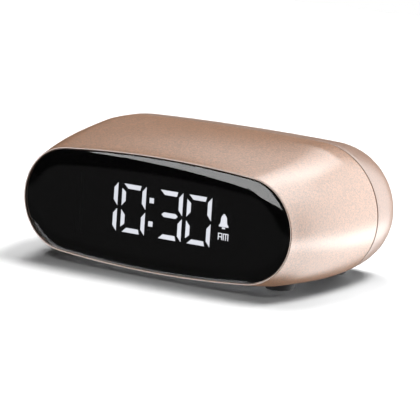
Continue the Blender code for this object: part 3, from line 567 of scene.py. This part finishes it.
def foot_pocket(sign, y):
    """Rings of a cutter up through the underside, for a foot to sit in."""
    radius = FOOT_RADIUS + FIT
    profile = [(radius, BELLY_Z - CUT_REACH), (radius, underside(y) + FOOT_POCKET)]
    return turned_rings(profile, (sign * FOOT_X, y, 0), "z")


def rounded_over(make, y, edge, facing, steps=4):
    """Rings of make(y, inset) that turn a corner of radius edge, towards -y (facing -1) or +y (facing 1)."""
    rings = []
    for k in range(steps + 1):
        turn = math.radians(90 * k / steps)
        rings.append(make(y - facing * edge * (1 - math.sin(turn)), edge * (1 - math.cos(turn))))
    return rings


# ---- Main shell and battery door ----
LIP_EDGE = 0.16
SEAM_EDGE = 0.22
SHELL_STEPS = 40


def shell_stations(start, end, count=SHELL_STEPS):
    return [start + (end - start) * k / count for k in range(count + 1)]


def build_shell():
    end_y = SEAM_Y - SEAM_GAP / 2
    outer = list(reversed(rounded_over(section, 0, LIP_EDGE, -1)))
    outer += [section(y) for y in shell_stations(LIP_EDGE + 0.3, end_y - SEAM_EDGE - 0.3)]
    outer += rounded_over(section, end_y, SEAM_EDGE, 1)
    inner = [section(end_y, WALL)]
    inner += [section(y, WALL) for y in reversed(shell_stations(LEDGE_Y[1], end_y - 1, 12))]
    front, back = LEDGE_Y
    ledge = [face_ring(back, LEDGE_WIDTH), face_ring(front, LEDGE_WIDTH), face_ring(front, -FIT / 2)]
    lip_inner = rounded_over(lambda y, inset: face_ring(y, -FIT / 2 - inset), 0, LIP_EDGE * 0.8, -1)
    shell = loft("shell_body", outer + inner + ledge + lip_inner, GOLD, closed=True)
    pockets = [foot_pocket(sign, FOOT_Y[0]) for sign in (-1, 1)]
    opening = block((-OPENING_HALF, TRAY_FRONT_Y - 2 * FIT, BELLY_Z - CUT_REACH),
                    (OPENING_HALF, SEAM_Y + 3, CELL_Z))
    boolean(shell, "DIFFERENCE", *pockets, opening)
    boss_start, bore_end, core = back - 0.5, SEAM_Y - 8, 0.2
    profile = [(BOSS_BORE, bore_end), (BOSS_BORE, BOSS_END_Y), (BOSS_RADIUS, BOSS_END_Y),
               (BOSS_RADIUS, boss_start), (core, boss_start), (core, bore_end)]
    bosses = [turned("boss", profile, (sign * BOSS_X, 0, CONTROL_Z), "y", GOLD, 24, closed=True)
              for sign in (-1, 1)]
    joined(shell, *bosses)
    stands_for(shell, "case", "gold_shell", "main_shell")


DOOR_GRIP_Y = (16.0, 17.3, 18.6, 19.9, 21.2)
GRIP_HALF = (8.0, 0.35)         # half length of the first grip, and half width
GRIP_STEP = 0.5                 # each grip is shorter than the last by this at either end
GRIP_DEPTH = 0.4
ARROW_Y = (24.0, 26.6)
ARROW_HALF = 2.2
ARROW_DEPTH = 0.25


def build_door():
    half = OPENING_HALF - 1.5 * FIT
    bottom_z = BELLY_Z - CUT_REACH
    stations = shell_stations(12.0, SEAM_Y + 1, 30)
    rings = [section(y) for y in stations] + [section(y, DOOR_THICKNESS) for y in reversed(stations)]
    door = loft("door_panel", rings, GOLD, closed=True)
    outline = block((-half, TRAY_FRONT_Y - FIT / 2, bottom_z), (half, SEAM_Y - SEAM_GAP, CELL_Z))
    boolean(door, "INTERSECT", outline)
    grips = []
    for index, y in enumerate(DOOR_GRIP_Y):
        length, width = GRIP_HALF[0] - GRIP_STEP * index, GRIP_HALF[1]
        grips.append(block((-length, y - width, bottom_z), (length, y + width, underside(y) + GRIP_DEPTH)))
    base, tip = ARROW_Y
    corners = ((-ARROW_HALF, base), (ARROW_HALF, base), (0, tip))
    arrow = [[Vector((x, y, z)) for x, y in corners] for z in (bottom_z, underside(base) + ARROW_DEPTH)]
    boolean(door, "DIFFERENCE", *grips, arrow)
    stands_for(door, "battery_door", "gold_shell", "battery_door")


# ---- Lens, its printed border, and the display ----
WINDOW_SIZE = (55.0, 17.2)
LENS_STEPS = 18
MASK_INSET = 0.4
MASK_GAP = 0.01
MASK_THICKNESS = 0.05


def build_lens():
    chamfer = 0.1
    rings = [face_ring(LENS_BACK_Y, FIT / 2 + chamfer), face_ring(LENS_BACK_Y - chamfer, FIT / 2),
             face_ring(0.05, FIT / 2)]
    for k in range(1, LENS_STEPS + 1):
        turn = math.radians(90 * k / LENS_STEPS)
        rings.append(face_ring(-LENS_BULGE * math.sin(turn), FIT / 2 + LENS_EDGE * (1 - math.cos(turn))))
    lens = loft("lens_glass", rings, LENS)
    for face in lens.data.polygons:
        if len(face.vertices) > 4:
            face.use_smooth = False     # the flat faces stay optically flat
    stands_for(lens, "case", "smoked_lens", "front_lens")


def window_ring(y):
    """The border's inner edge: a point on the window's rectangle for each point of the lens outline."""
    width, height = WINDOW_SIZE
    points = []
    for point in face_ring(y, MASK_INSET):
        turn = math.atan2(point.z / height, point.x / width)
        reach = 1 / max(abs(math.cos(turn)), abs(math.sin(turn)))
        points.append((width / 2 * reach * math.cos(turn), height / 2 * reach * math.sin(turn)))
    return leaning(points, y)


def build_mask():
    """The black border printed on the back of the lens."""
    front = LENS_BACK_Y + MASK_GAP
    back = front + MASK_THICKNESS
    rings = [face_ring(front, MASK_INSET), face_ring(back, MASK_INSET), window_ring(back), window_ring(front)]
    mask = loft("lens_mask", rings, MASK, closed=True, smooth=0)
    stands_for(mask, "case", "smoked_lens")


DIGIT_WIDTH = 8.15
DIGIT_HALF = 6.8
STROKE = 1.28
DIGIT_RIGHTS = (-12.86, -3.26, 9.13, 18.73)
COLON_X = -1.28
COLON_Z = 3.27
COLON_SIDE = 1.45
DISPLAY_SHIFT = (-2.70, -0.72)      # from where it is seen through the lens to where it lies on the panel
SEGMENT_Y = (LCD_FRONT_Y - 0.06, LCD_FRONT_Y - 0.01)


def digit_strokes(wide, high):
    """Outlines of the seven strokes; x runs from a digit's left edge and z from its middle."""
    strokes = {
        "right_up": [(wide, high), (wide - STROKE, high - 1.45), (wide - STROKE, 1.9), (wide, 0.42)],
        "left_up": [(0, high - 1.35), (0, 0.55), (STROKE, 1.95), (STROKE, high - 2.35)],
        "top": [(0.6, high), (wide - 1.75, high), (wide - 2.1, high - 1.3), (2.05, high - 1.3)],
        "middle": [(1.3, 0), (2.1, 0.66), (wide - 2.2, 0.66),
                   (wide - 1.4, 0), (wide - 2.2, -0.66), (2.1, -0.66)],
    }
    for upper, lower in (("right_up", "right_down"), ("left_up", "left_down"), ("top", "bottom")):
        strokes[lower] = [(x, -z) for x, z in strokes[upper]]
    return strokes


STROKES = digit_strokes(DIGIT_WIDTH, DIGIT_HALF)
RIGHT_STROKES = ("right_up", "right_down")
SHOWN = {"1": RIGHT_STROKES,
         "0": (*RIGHT_STROKES, "left_up", "left_down", "top", "bottom"),
         "3": (*RIGHT_STROKES, "top", "middle", "bottom")}


def plate(bm, outline, where=leaned, shift=DISPLAY_SHIFT, ys=SEGMENT_Y):
    """A thin plate of the outline, in x and z, on the display panel."""
    skin(bm, [[Vector((x + shift[0], y, z + shift[1])) for x, z in outline] for y in ys], where=where)


def bar(x0, z0, x1, z1):
    """The outline of an upright rectangle, in x and z."""
    return [(x0, z0), (x1, z0), (x1, z1), (x0, z1)]


def bell_outline(centre, foot, width, height, steps=10):
    """A bell from the side: a dome on flaring sides, in x and z."""
    half = width / 2
    crown = height * 0.36
    right = []
    for k in range(steps + 1):
        turn = math.radians(90 * k / steps)
        right.append((half * 0.62 * math.sin(turn), foot + height - crown + crown * math.cos(turn)))
    flare = ((0.66, 0.40), (0.78, 0.22), (1, 0.10), (1, 0))
    right += [(half * wide, foot + height * high) for wide, high in flare]
    left = [(-x, z) for x, z in reversed(right[1:])]
    return [(centre + x, z) for x, z in left + right]


DISPLAY_RISE = 0.47         # middle of the digits above the panel's own middle line
BELL_X = 23.0
LETTER_Z = (-3.75, -1.85)
LETTER_LINE = 0.26
LETTER_X = {"A": (21.35, 22.75), "M": (23.0, 24.75)}
LETTER_BAR_RISE = 0.72


def show(name, outlines):
    """A lit piece made of thin plates on the display panel."""
    bm = bmesh.new()
    for outline in outlines:
        plate(bm, outline)
    stands_for(made_object(name, bm, LIT, 0), "case", "lcd_glass")


def letter_bars(letter):
    """A squared-off letter as bars: two sides and a top, then the A's bar or the M's middle stroke."""
    x0, x1 = LETTER_X[letter]
    low, high = LETTER_Z
    line = LETTER_LINE
    middle = (x0 + x1) / 2
    bars = [bar(x0, low, x0 + line, high), bar(x1 - line, low, x1, high),
            bar(x0 + line, high - line, x1 - line, high)]
    if letter == "A":
        bars.append(bar(x0 + line, low + LETTER_BAR_RISE, x1 - line, low + LETTER_BAR_RISE + line))
    else:
        bars.append(bar(middle - line / 2, low, middle + line / 2, high - line))
    return bars


def build_display():
    digits = []
    for digit, right in zip("1030", DIGIT_RIGHTS):
        for stroke in SHOWN[digit]:
            digits.append([(right - DIGIT_WIDTH + x, z + DISPLAY_RISE) for x, z in STROKES[stroke]])
    show("time_digits", digits)
    side = COLON_SIDE / 2
    show("colon_dots", [bar(COLON_X - side, z + DISPLAY_RISE - side, COLON_X + side, z + DISPLAY_RISE + side)
                        for z in (COLON_Z, -COLON_Z)])
    show("bell_mark", [bell_outline(BELL_X, -0.1, 3.1, 3.3),
                       bar(BELL_X - 0.3, 3.1, BELL_X + 0.3, 3.45),
                       bar(BELL_X - 0.5, -0.65, BELL_X + 0.5, -0.2)])
    show("half_day_mark", [*letter_bars("A"), *letter_bars("M")])


# ---- Rear cover ----
def rear_stations(start_y, depth, count=34):
    """Depths from the seam to the flat of the rear, evenly spread along the rounding."""
    u0 = max((start_y - WIDEST_Y) / (depth - WIDEST_Y), 0.001)
    first = math.asin(u0 ** (REAR_ROUNDNESS / 2))
    stations = []
    for k in range(count + 1):
        turn = first + (math.pi / 2 - first) * k / count
        stations.append(WIDEST_Y + (depth - WIDEST_Y) * math.sin(turn) ** (2 / REAR_ROUNDNESS))
    return stations


def control_cutters():
    """Holes for the keys, the slider's knob and the sound, each with a softened edge."""
    start = REAR_IN_Y - 1
    tools = []
    width, height = (size + 2 * FIT for size in KEY_SIZE)
    for x in KEY_PLACES.values():
        tools.append(flared_hole(width, height, height / 2 - PILL_EASE, start, DEPTH, 0.3, (x, CONTROL_Z)))
    slot = (KNOB_SIZE[0] + KNOB_TRAVEL + 2 * FIT, KNOB_SIZE[1] + 2 * FIT, 0.7)
    tools.append(flared_hole(*slot, start, DEPTH, 0.3, (KNOB_X + KNOB_TRAVEL / 2, CONTROL_Z)))
    size = 2 * SOUND_HOLE_RADIUS
    for index in range(7):
        turn = math.radians(60 * index)
        out = SOUND_HOLE_PITCH if index < 6 else 0
        centre = (BUZZER_X + out * math.cos(turn), CONTROL_Z + out * math.sin(turn))
        tools.append(flared_hole(size, size, SOUND_HOLE_RADIUS - 0.001, start, DEPTH, 0.2, centre))
    return tools


def build_rear():
    start_y = SEAM_Y + SEAM_GAP / 2
    thickness, reach = TONGUE
    stations = rear_stations(start_y, DEPTH)
    outer = list(reversed(rounded_over(section, start_y, SEAM_EDGE, -1))) + [section(y) for y in stations[2:]]
    inner = [section(start_y, WALL + FIT + thickness, REAR_IN_Y)]
    inner += [section(y, WALL, REAR_IN_Y) for y in rear_stations(start_y, REAR_IN_Y, 14)[1:]]
    tongue = [section(start_y, WALL + FIT), section(SEAM_Y - reach, WALL + FIT),
              section(SEAM_Y - reach, WALL + FIT + thickness)]
    cover = loft("rear_body", list(reversed(outer)) + tongue + inner, GOLD_REAR)
    tools = control_cutters()
    wells = []
    head, _, shank, _ = CASE_SCREW
    bore, seat_bore = shank + FIT, head + 0.3
    tube_start, tube_end = SEAM_Y - 0.15, DEPTH - 1.2
    well = [(bore, tube_start), (TUBE_RADIUS, tube_start), (TUBE_RADIUS, tube_end), (seat_bore, tube_end),
            (seat_bore, SCREW_SEAT_Y), (bore, SCREW_SEAT_Y)]
    seat = (2 * seat_bore, 2 * seat_bore, seat_bore - 0.001)
    for sign in (-1, 1):
        x = sign * BOSS_X
        tools.append(flared_hole(*seat, SCREW_SEAT_Y + 1, DEPTH - 0.05, 0.35, (x, CONTROL_Z)))
        tools.append(foot_pocket(sign, FOOT_Y[1]))
        wells.append(turned("well", well, (x, 0, CONTROL_Z), "y", GOLD_REAR, closed=True))
    gap_half = OPENING_HALF + 2 * FIT
    lean_shift = -BELLY_Z * math.tan(FACE_LEAN) * (1 - SEAM_Y / DEPTH)
    tools.append(block((-gap_half, SEAM_Y - reach - 1, BELLY_Z - 2),
                       (gap_half, start_y - lean_shift, CELL_Z)))
    boolean(cover, "DIFFERENCE", *tools)
    joined(cover, *wells)
    stands_for(cover, "case", "gold_rear", "rear_cover")


def print_on(name, body, y, outlines, thickness=0.06):
    """Printed marks standing a hair proud of a surface at depth y."""
    bm = bmesh.new()
    for outline in outlines:
        plate(bm, outline, row, (0, CONTROL_Z), (y - 0.02, y + thickness))
    stands_for(made_object(name, bm, PRINT, 0), body, "black_plastic")


def ring_outlines(centre, outer, inner, steps=32):
    """A ring as a fan of four-sided plates."""
    turns = [2 * math.pi * k / steps for k in range(steps + 1)]
    outside, inside = ([(centre + radius * math.cos(turn), radius * math.sin(turn)) for turn in turns]
                       for radius in (outer, inner))
    return [[outside[k], outside[k + 1], inside[k + 1], inside[k]] for k in range(steps)]


SIGN_HALF = 1.1         # the plus and minus signs: half their length
SIGN_LINE = 0.17        # and half the width of their lines
HAND_LINE = 0.13


def key_sign(name, x):
    """What is printed on a key: a clock face, a bell, a minus or a plus."""
    if name == "time":
        minute_hand = bar(x - HAND_LINE, -0.1, x + HAND_LINE, 0.75)
        hour_hand = bar(x - HAND_LINE, -HAND_LINE, x + 0.62, HAND_LINE)
        return [*ring_outlines(x, 1.25, 0.98), minute_hand, hour_hand]
    if name == "alarm":
        return [bell_outline(x, -0.75, 2.0, 1.95), bar(x - 0.3, -1.15, x + 0.3, -0.85)]
    signs = [bar(x - SIGN_HALF, -SIGN_LINE, x + SIGN_HALF, SIGN_LINE)]
    if name == "plus":
        signs += [bar(x - SIGN_LINE, SIGN_LINE, x + SIGN_LINE, SIGN_HALF),
                  bar(x - SIGN_LINE, -SIGN_HALF, x + SIGN_LINE, -SIGN_LINE)]
    return signs


FLANGE_DEPTH = 0.8
STEM_DEPTH = 1.4
STEM = (3.0, 3.0, 1.2)
KEY_EDGE = 0.45
FRONT_OF_KEYS = DEPTH + KEY_PROUD


def build_keys():
    width, height = KEY_SIZE
    flange_start = FLANGE_Y - FLANGE_DEPTH
    tall = height + 2 * FLANGE
    flange = (width + 2 * FLANGE, tall, tall / 2 - PILL_EASE)
    for name, x in KEY_PLACES.items():
        centre = (x, CONTROL_Z)
        rings = [rounded(*STEM, flange_start - STEM_DEPTH, centre), rounded(*STEM, flange_start, centre),
                 rounded(*flange, flange_start, centre), rounded(*flange, FLANGE_Y, centre)]
        rings += soft_stack(width, height, height / 2 - PILL_EASE, FLANGE_Y, FRONT_OF_KEYS, KEY_EDGE, centre)
        key = loft(f"{name}_button", rings, GOLD_REAR)
        stands_for(key, f"{name}_key", "gold_rear", f"{name}_key")
        print_on(f"{name}_mark", f"{name}_key", FRONT_OF_KEYS, key_sign(name, x))


KNOB_GROOVES = (-1.35, -0.45, 0.45, 1.35)
GROOVE_HALF = 0.16
GROOVE_DEPTH = 0.35
SLIDER_MARK_RISE = 4.0


def build_slider():
    width, height = KNOB_SIZE
    centre = (KNOB_X, CONTROL_Z)
    flange = (KNOB_FLANGE, height + 2 * FLANGE, 0.8)
    rings = [rounded(*flange, FLANGE_Y - FLANGE_DEPTH, centre), rounded(*flange, FLANGE_Y, centre)]
    rings += soft_stack(width, height, 0.6, FLANGE_Y, FRONT_OF_KEYS, 0.25, centre)
    knob = loft("slider_knob", rings, BLACK)
    grooves = []
    for x in (KNOB_X + offset for offset in KNOB_GROOVES):
        grooves.append(block((x - GROOVE_HALF, FRONT_OF_KEYS - GROOVE_DEPTH, CONTROL_Z - height),
                             (x + GROOVE_HALF, FRONT_OF_KEYS + 1, CONTROL_Z + height)))
    boolean(knob, "DIFFERENCE", *grooves)
    stands_for(knob, "alarm_slider", "black_plastic", "alarm_slider")
    left = KNOB_X - 1.6
    right = KNOB_X + KNOB_TRAVEL + 1.9
    outlines = [bell_outline(right, -0.75, 1.7, 1.7), bar(right - 0.28, -1.1, right + 0.28, -0.85)]
    outlines += ring_outlines(left, 0.75, 0.52)
    marks = [[(x, z + SLIDER_MARK_RISE) for x, z in outline] for outline in outlines]
    print_on("slider_marks", "case", DEPTH, marks, 0.04)


TREAD_RINGS = (3.0, 1.9)    # outer radius of each groove in a foot's tread
TREAD_DEPTH = 0.25


def foot_profile(top):
    """From the middle of a foot's top, down its side and across its grooved tread."""
    radius = FOOT_RADIUS
    profile = [(0.01, top), (radius - 0.1, top), (radius, top - 0.1), (radius, FLOOR_Z + 0.35),
               (radius - 0.1, FLOOR_Z + 0.1), (radius - 0.35, FLOOR_Z)]
    for outer in TREAD_RINGS:
        profile += [(outer, FLOOR_Z), (outer - 0.08, FLOOR_Z + TREAD_DEPTH),
                    (outer - 0.42, FLOOR_Z + TREAD_DEPTH), (outer - 0.5, FLOOR_Z)]
    return [*profile, (0.01, FLOOR_Z)]


def build_feet():
    for line, y in zip(("front", "rear"), FOOT_Y):
        profile = foot_profile(underside(y) + FOOT_POCKET - FIT)
        for side, sign in (("left", -1), ("right", 1)):
            foot = turned(f"pad_{line}_{side}", profile, (sign * FOOT_X, y, 0), "z", RUBBER, 48)
            stands_for(foot, "case", "rubber", f"foot_{line}_{side}")


THREAD_PITCH = 0.75
THREAD_DEPTH = 0.2
CROSS_ARM = 1.25
CROSS_HALF = 0.28
CROSS_DEPTH = 0.9


def screw_profile(seat):
    """From the top of a pan head, out over its dome and down a ridged shank to a point."""
    head, head_height, shank, length = CASE_SCREW
    profile = [(0.01, seat + head_height)]
    for k in range(7):
        turn = math.radians(15 * k)
        profile.append((head * (0.55 + 0.45 * math.sin(turn)),
                        seat + head_height * (0.35 + 0.65 * math.cos(turn))))
    profile += [(head, seat), (shank, seat)]
    y = seat
    while y > seat - length + 2:
        profile += [(shank, y - 0.5), (shank - THREAD_DEPTH, y - THREAD_PITCH)]
        y -= THREAD_PITCH
    return [*profile, (0.01, seat - length)]


def build_screws():
    seat = SCREW_SEAT_Y + STACK_GAP
    head_end = seat + CASE_SCREW[1]
    cross_start = head_end - CROSS_DEPTH
    for side, sign in (("left", -1), ("right", 1)):
        x = sign * BOSS_X
        screw = turned(f"screw_{side}", screw_profile(seat), (x, 0, CONTROL_Z), "y", STEEL)
        cross = [block((x - wide, cross_start, CONTROL_Z - tall), (x + wide, head_end + 1, CONTROL_Z + tall))
                 for wide, tall in ((CROSS_ARM, CROSS_HALF), (CROSS_HALF, CROSS_ARM))]
        boolean(screw, "DIFFERENCE", *cross)
        stands_for(screw, "case", "steel", f"case_screw_{side}")


# ---- Finishes of the CAD nodes that stay ----
KEPT = {
    TAPE: ("lens_tape",),
    MASK: ("display_frame",),
    BLACK: ("battery_tray", "driver_chip", "capacitor", "buzzer", "switch_lever", "time_switch",
            "alarm_switch", "minus_switch", "plus_switch"),
    CELL: ("aaa_cell_1", "aaa_cell_2"),
    STEEL: ("battery_spring_1", "battery_spring_2", "contact_plate_1", "contact_plate_2", "board_screw_1",
            "board_screw_2", "board_screw_3", "board_screw_4", "key_board_screw_1", "key_board_screw_2",
            "slide_switch", "quartz_crystal"),
    RED: ("battery_wire_red",),
    DARK_WIRE: ("battery_wire_black",),
    LCD: ("lcd_panel",),
    CLEAR: ("light_guide",),
    WHITE: ("reflector_sheet", "backlight_led_left", "backlight_led_right", "time_plunger", "alarm_plunger",
            "minus_plunger", "plus_plunger"),
    RUBBER: ("zebra_strip",),
    BOARD: ("main_pcb", "key_pcb"),
    RIBBON: ("ribbon_cable",),
    COPPER: ("touch_plate", "touch_wire"),
}


def finish_nodes():
    for mat, names in KEPT.items():
        for name in names:
            for slot in NODES[name].material_slots:
                slot.material = mat


# ---- Studio ----
FLOOR_HALF = 0.48       # small enough to be lit evenly out to its edge, where the white backdrop takes over
FLOOR_ALBEDO = 0.94


def build_floor():
    bm = bmesh.new()
    bmesh.ops.create_grid(bm, x_segments=2, y_segments=2, size=FLOOR_HALF)
    floor = made_object("floor", bm, floor_material(), 0)
    floor.location.z = -0.05 * MM       # clear of the feet, which stand at 0
    floor.visible_glossy = floor.visible_transmission = floor.visible_diffuse = floor.visible_shadow = False


def floor_material():
    made, tree, shader = new_material("floor_look")
    drift = noise(tree, 3, 1.0)
    paint(tree, shader, blend(tree, drift, grey(FLOOR_ALBEDO - 0.01), grey(FLOOR_ALBEDO + 0.01)))
    shader.inputs["Roughness"].default_value = 0.9
    shader.inputs["Specular IOR Level"].default_value = 0.0
    return made


def softbox(name, place, aim, size, radiance, only):
    """A rectangular light for the pieces in only, its brightness given as the radiance of its face."""
    data = bpy.data.lights.new(name, "AREA")
    data.shape = "RECTANGLE"
    data.size, data.size_y = size
    data.energy = radiance * math.pi * size[0] * size[1]
    obj = bpy.data.objects.new(name, data)
    obj.location = place
    obj.rotation_euler = (Vector(aim) - Vector(place)).to_track_quat("-Z", "Y").to_euler()
    obj.visible_camera = False
    bpy.context.scene.collection.objects.link(obj)
    group = bpy.data.collections.new(name + "_receives")
    for receiver in only:
        group.objects.link(receiver)
    obj.light_linking.receiver_collection = group
    return obj


def build_world():
    """White to the camera; to everything else a dim room, nearly black in front above the horizon."""
    world = bpy.data.worlds.new("studio")
    bpy.context.scene.world = world
    world.use_nodes = True
    tree = world.node_tree
    tree.nodes.clear()
    out = tree.nodes.new("ShaderNodeOutputWorld")
    coords = tree.nodes.new("ShaderNodeTexCoord")
    split = tree.nodes.new("ShaderNodeSeparateXYZ")
    link(tree, coords.outputs["Generated"], split.inputs["Vector"])
    height, back = split.outputs["Z"], split.outputs["Y"]
    front = mix(tree, spread(tree, height, 0, 1, -0.10, -0.07), grey(0.12), grey(0.002))
    rear = mix(tree, spread(tree, height, 0, 1, -0.2, 0.5), (0.030, 0.029, 0.028), (0.020, 0.0195, 0.019))
    room = mix(tree, spread(tree, back, 0, 1, -0.35, 0.3), front, rear)
    room_light = tree.nodes.new("ShaderNodeBackground")
    link(tree, room, room_light.inputs["Color"])
    plain = tree.nodes.new("ShaderNodeBackground")
    plain.inputs["Color"].default_value = (1, 1, 1, 1)
    paths = tree.nodes.new("ShaderNodeLightPath")
    choose = tree.nodes.new("ShaderNodeMixShader")
    link(tree, paths.outputs["Is Camera Ray"], choose.inputs["Fac"])
    link(tree, room_light.outputs["Background"], choose.inputs[1])
    link(tree, plain.outputs["Background"], choose.inputs[2])
    link(tree, choose.outputs["Shader"], out.inputs["Surface"])


def direction(azimuth, elevation):
    """A unit vector out from the clock; azimuth 0 is in front of it and 90 degrees to its right."""
    level = math.cos(elevation)
    return Vector((math.sin(azimuth) * level, -math.cos(azimuth) * level, math.sin(elevation)))


CAMERA_TARGET = (3.526, 22.25, -1.433)      # in the clock's frame, millimetres
CAMERA_DISTANCE = 867.3
CAMERA_AZIMUTH = math.radians(34.03)
CAMERA_ELEVATION = math.radians(11.66)
CAMERA_ROLL = math.radians(2.0)
CAMERA_LENS = 265.67


def build_camera():
    data = bpy.data.cameras.new("camera")
    data.lens = CAMERA_LENS
    data.sensor_width = 36
    data.clip_end = 20
    obj = bpy.data.objects.new("camera", data)
    back = direction(CAMERA_AZIMUTH, CAMERA_ELEVATION)
    level = Vector((math.cos(CAMERA_AZIMUTH), math.sin(CAMERA_AZIMUTH), 0))
    rise = back.cross(level)
    right = math.cos(CAMERA_ROLL) * level + math.sin(CAMERA_ROLL) * rise
    up = math.cos(CAMERA_ROLL) * rise - math.sin(CAMERA_ROLL) * level
    turn = Matrix((right, up, back)).transposed().to_4x4()
    obj.matrix_world = Matrix.Translation(row(CAMERA_TARGET) + back * CAMERA_DISTANCE * MM) @ turn
    bpy.context.scene.collection.objects.link(obj)
    bpy.context.scene.camera = obj


CLOCK_MIDDLE = (0, 0, 0.02)
BODY_PANELS = (         # name, place, where it faces, width and height in metres, radiance
    ("top_softbox", (0.2, 0.1, 1.0), (0.2, 0.1, 0), (1.6, 1.3), 0.85),
    ("back_top_panel", (-0.37, 0.79, 1.03), CLOCK_MIDDLE, (1.2, 0.5), 2.3),
    ("side_top_panel", (0.39, 0.47, 1.15), CLOCK_MIDDLE, (1.4, 0.7), 1.6),
    ("rear_panel", (0.84, 1.0, 0.20), CLOCK_MIDDLE, (1.9, 2.0), 1.95),
    ("low_panel", (0.70, 0.70, -0.75), CLOCK_MIDDLE, (2.0, 1.0), 2.0),
    ("front_panel", (-0.9, -1.3, 0.0), CLOCK_MIDDLE, (0.7, 0.7), 5.0),
)
FLOOR_LIGHTS = (        # name, azimuth, elevation, side in metres, share of the floor's brightness
    ("floor_right", 132, 66, 0.50, 0.66),
    ("floor_left", 222, 69, 0.60, 0.46),
    ("floor_front", 15, 45, 0.60, 0.13),
    ("floor_back", 182, 16, 0.50, 0.12),
)
FLOOR_LIGHT_DISTANCE = 1.5


def build_lights():
    lens = bpy.data.objects["lens_glass"]
    floor = bpy.data.objects["floor"]
    body = [obj for obj in bpy.data.objects if obj.type == "MESH" and obj not in (lens, floor)]
    for obj in body:
        obj.visible_diffuse = False     # the floor's shadow stays neutral, with no gold light bounced into it
    for name, azimuth, elevation, side, share in FLOOR_LIGHTS:
        floor_light(name, floor, math.radians(azimuth), math.radians(elevation), side, share)
    for panel in BODY_PANELS:
        softbox(*panel, only=body)
    band_light(lens)


def floor_light(name, floor, azimuth, elevation, side, share):
    """A square softbox for the floor alone, its radiance set by its share of a floor lit to white."""
    spread_out = FLOOR_LIGHT_DISTANCE ** 2 / (side ** 2 * math.sin(elevation))
    radiance = share * math.pi / FLOOR_ALBEDO * spread_out
    place = direction(azimuth, elevation) * FLOOR_LIGHT_DISTANCE
    light = softbox(name, place, (0, 0, 0), (side, side), radiance, only=[floor])
    # Diffuse rays pass through the body and would fill its shadow. Without multiple importance sampling
    # the light reaches the floor only by shadow rays, which the body stops.
    light.data.cycles.use_multiple_importance_sampling = False


BAND_CORNER = (math.radians(-29.3), math.radians(-1.7))     # azimuth and elevation, seen from the lens
BAND_TILT = math.radians(27)
BAND_SIZE = (1.1, 2.0)
BAND_DISTANCE = 1.6
BAND_RADIANCE = 7.5
LENS_RIM = (0.015, -0.026, 0.03)        # the middle of the lens's upper rim


def band_light(lens):
    """The tall softbox that the lens's rounded rim mirrors; it stands front left, tipped over on a corner."""
    azimuth, elevation = BAND_CORNER
    away = direction(azimuth, elevation)
    level = Vector((math.cos(azimuth), math.sin(azimuth), 0))
    rise = away.cross(level)
    across = math.cos(BAND_TILT) * level + math.sin(BAND_TILT) * rise
    along = math.cos(BAND_TILT) * rise - math.sin(BAND_TILT) * level
    corner = Vector(LENS_RIM) + away * BAND_DISTANCE
    middle = corner + across * BAND_SIZE[0] / 2 + along * BAND_SIZE[1] / 2
    light = softbox("lens_band", middle, middle - away, BAND_SIZE, BAND_RADIANCE, only=[lens])
    light.rotation_euler = Matrix((across, along, across.cross(along))).transposed().to_euler()


build_shell()
build_door()
build_lens()
build_mask()
build_display()
build_rear()
build_keys()
build_slider()
build_feet()
build_screws()
finish_nodes()
build_floor()
build_world()
build_camera()
build_lights()
bpy.context.scene.view_settings.view_transform = "Standard"
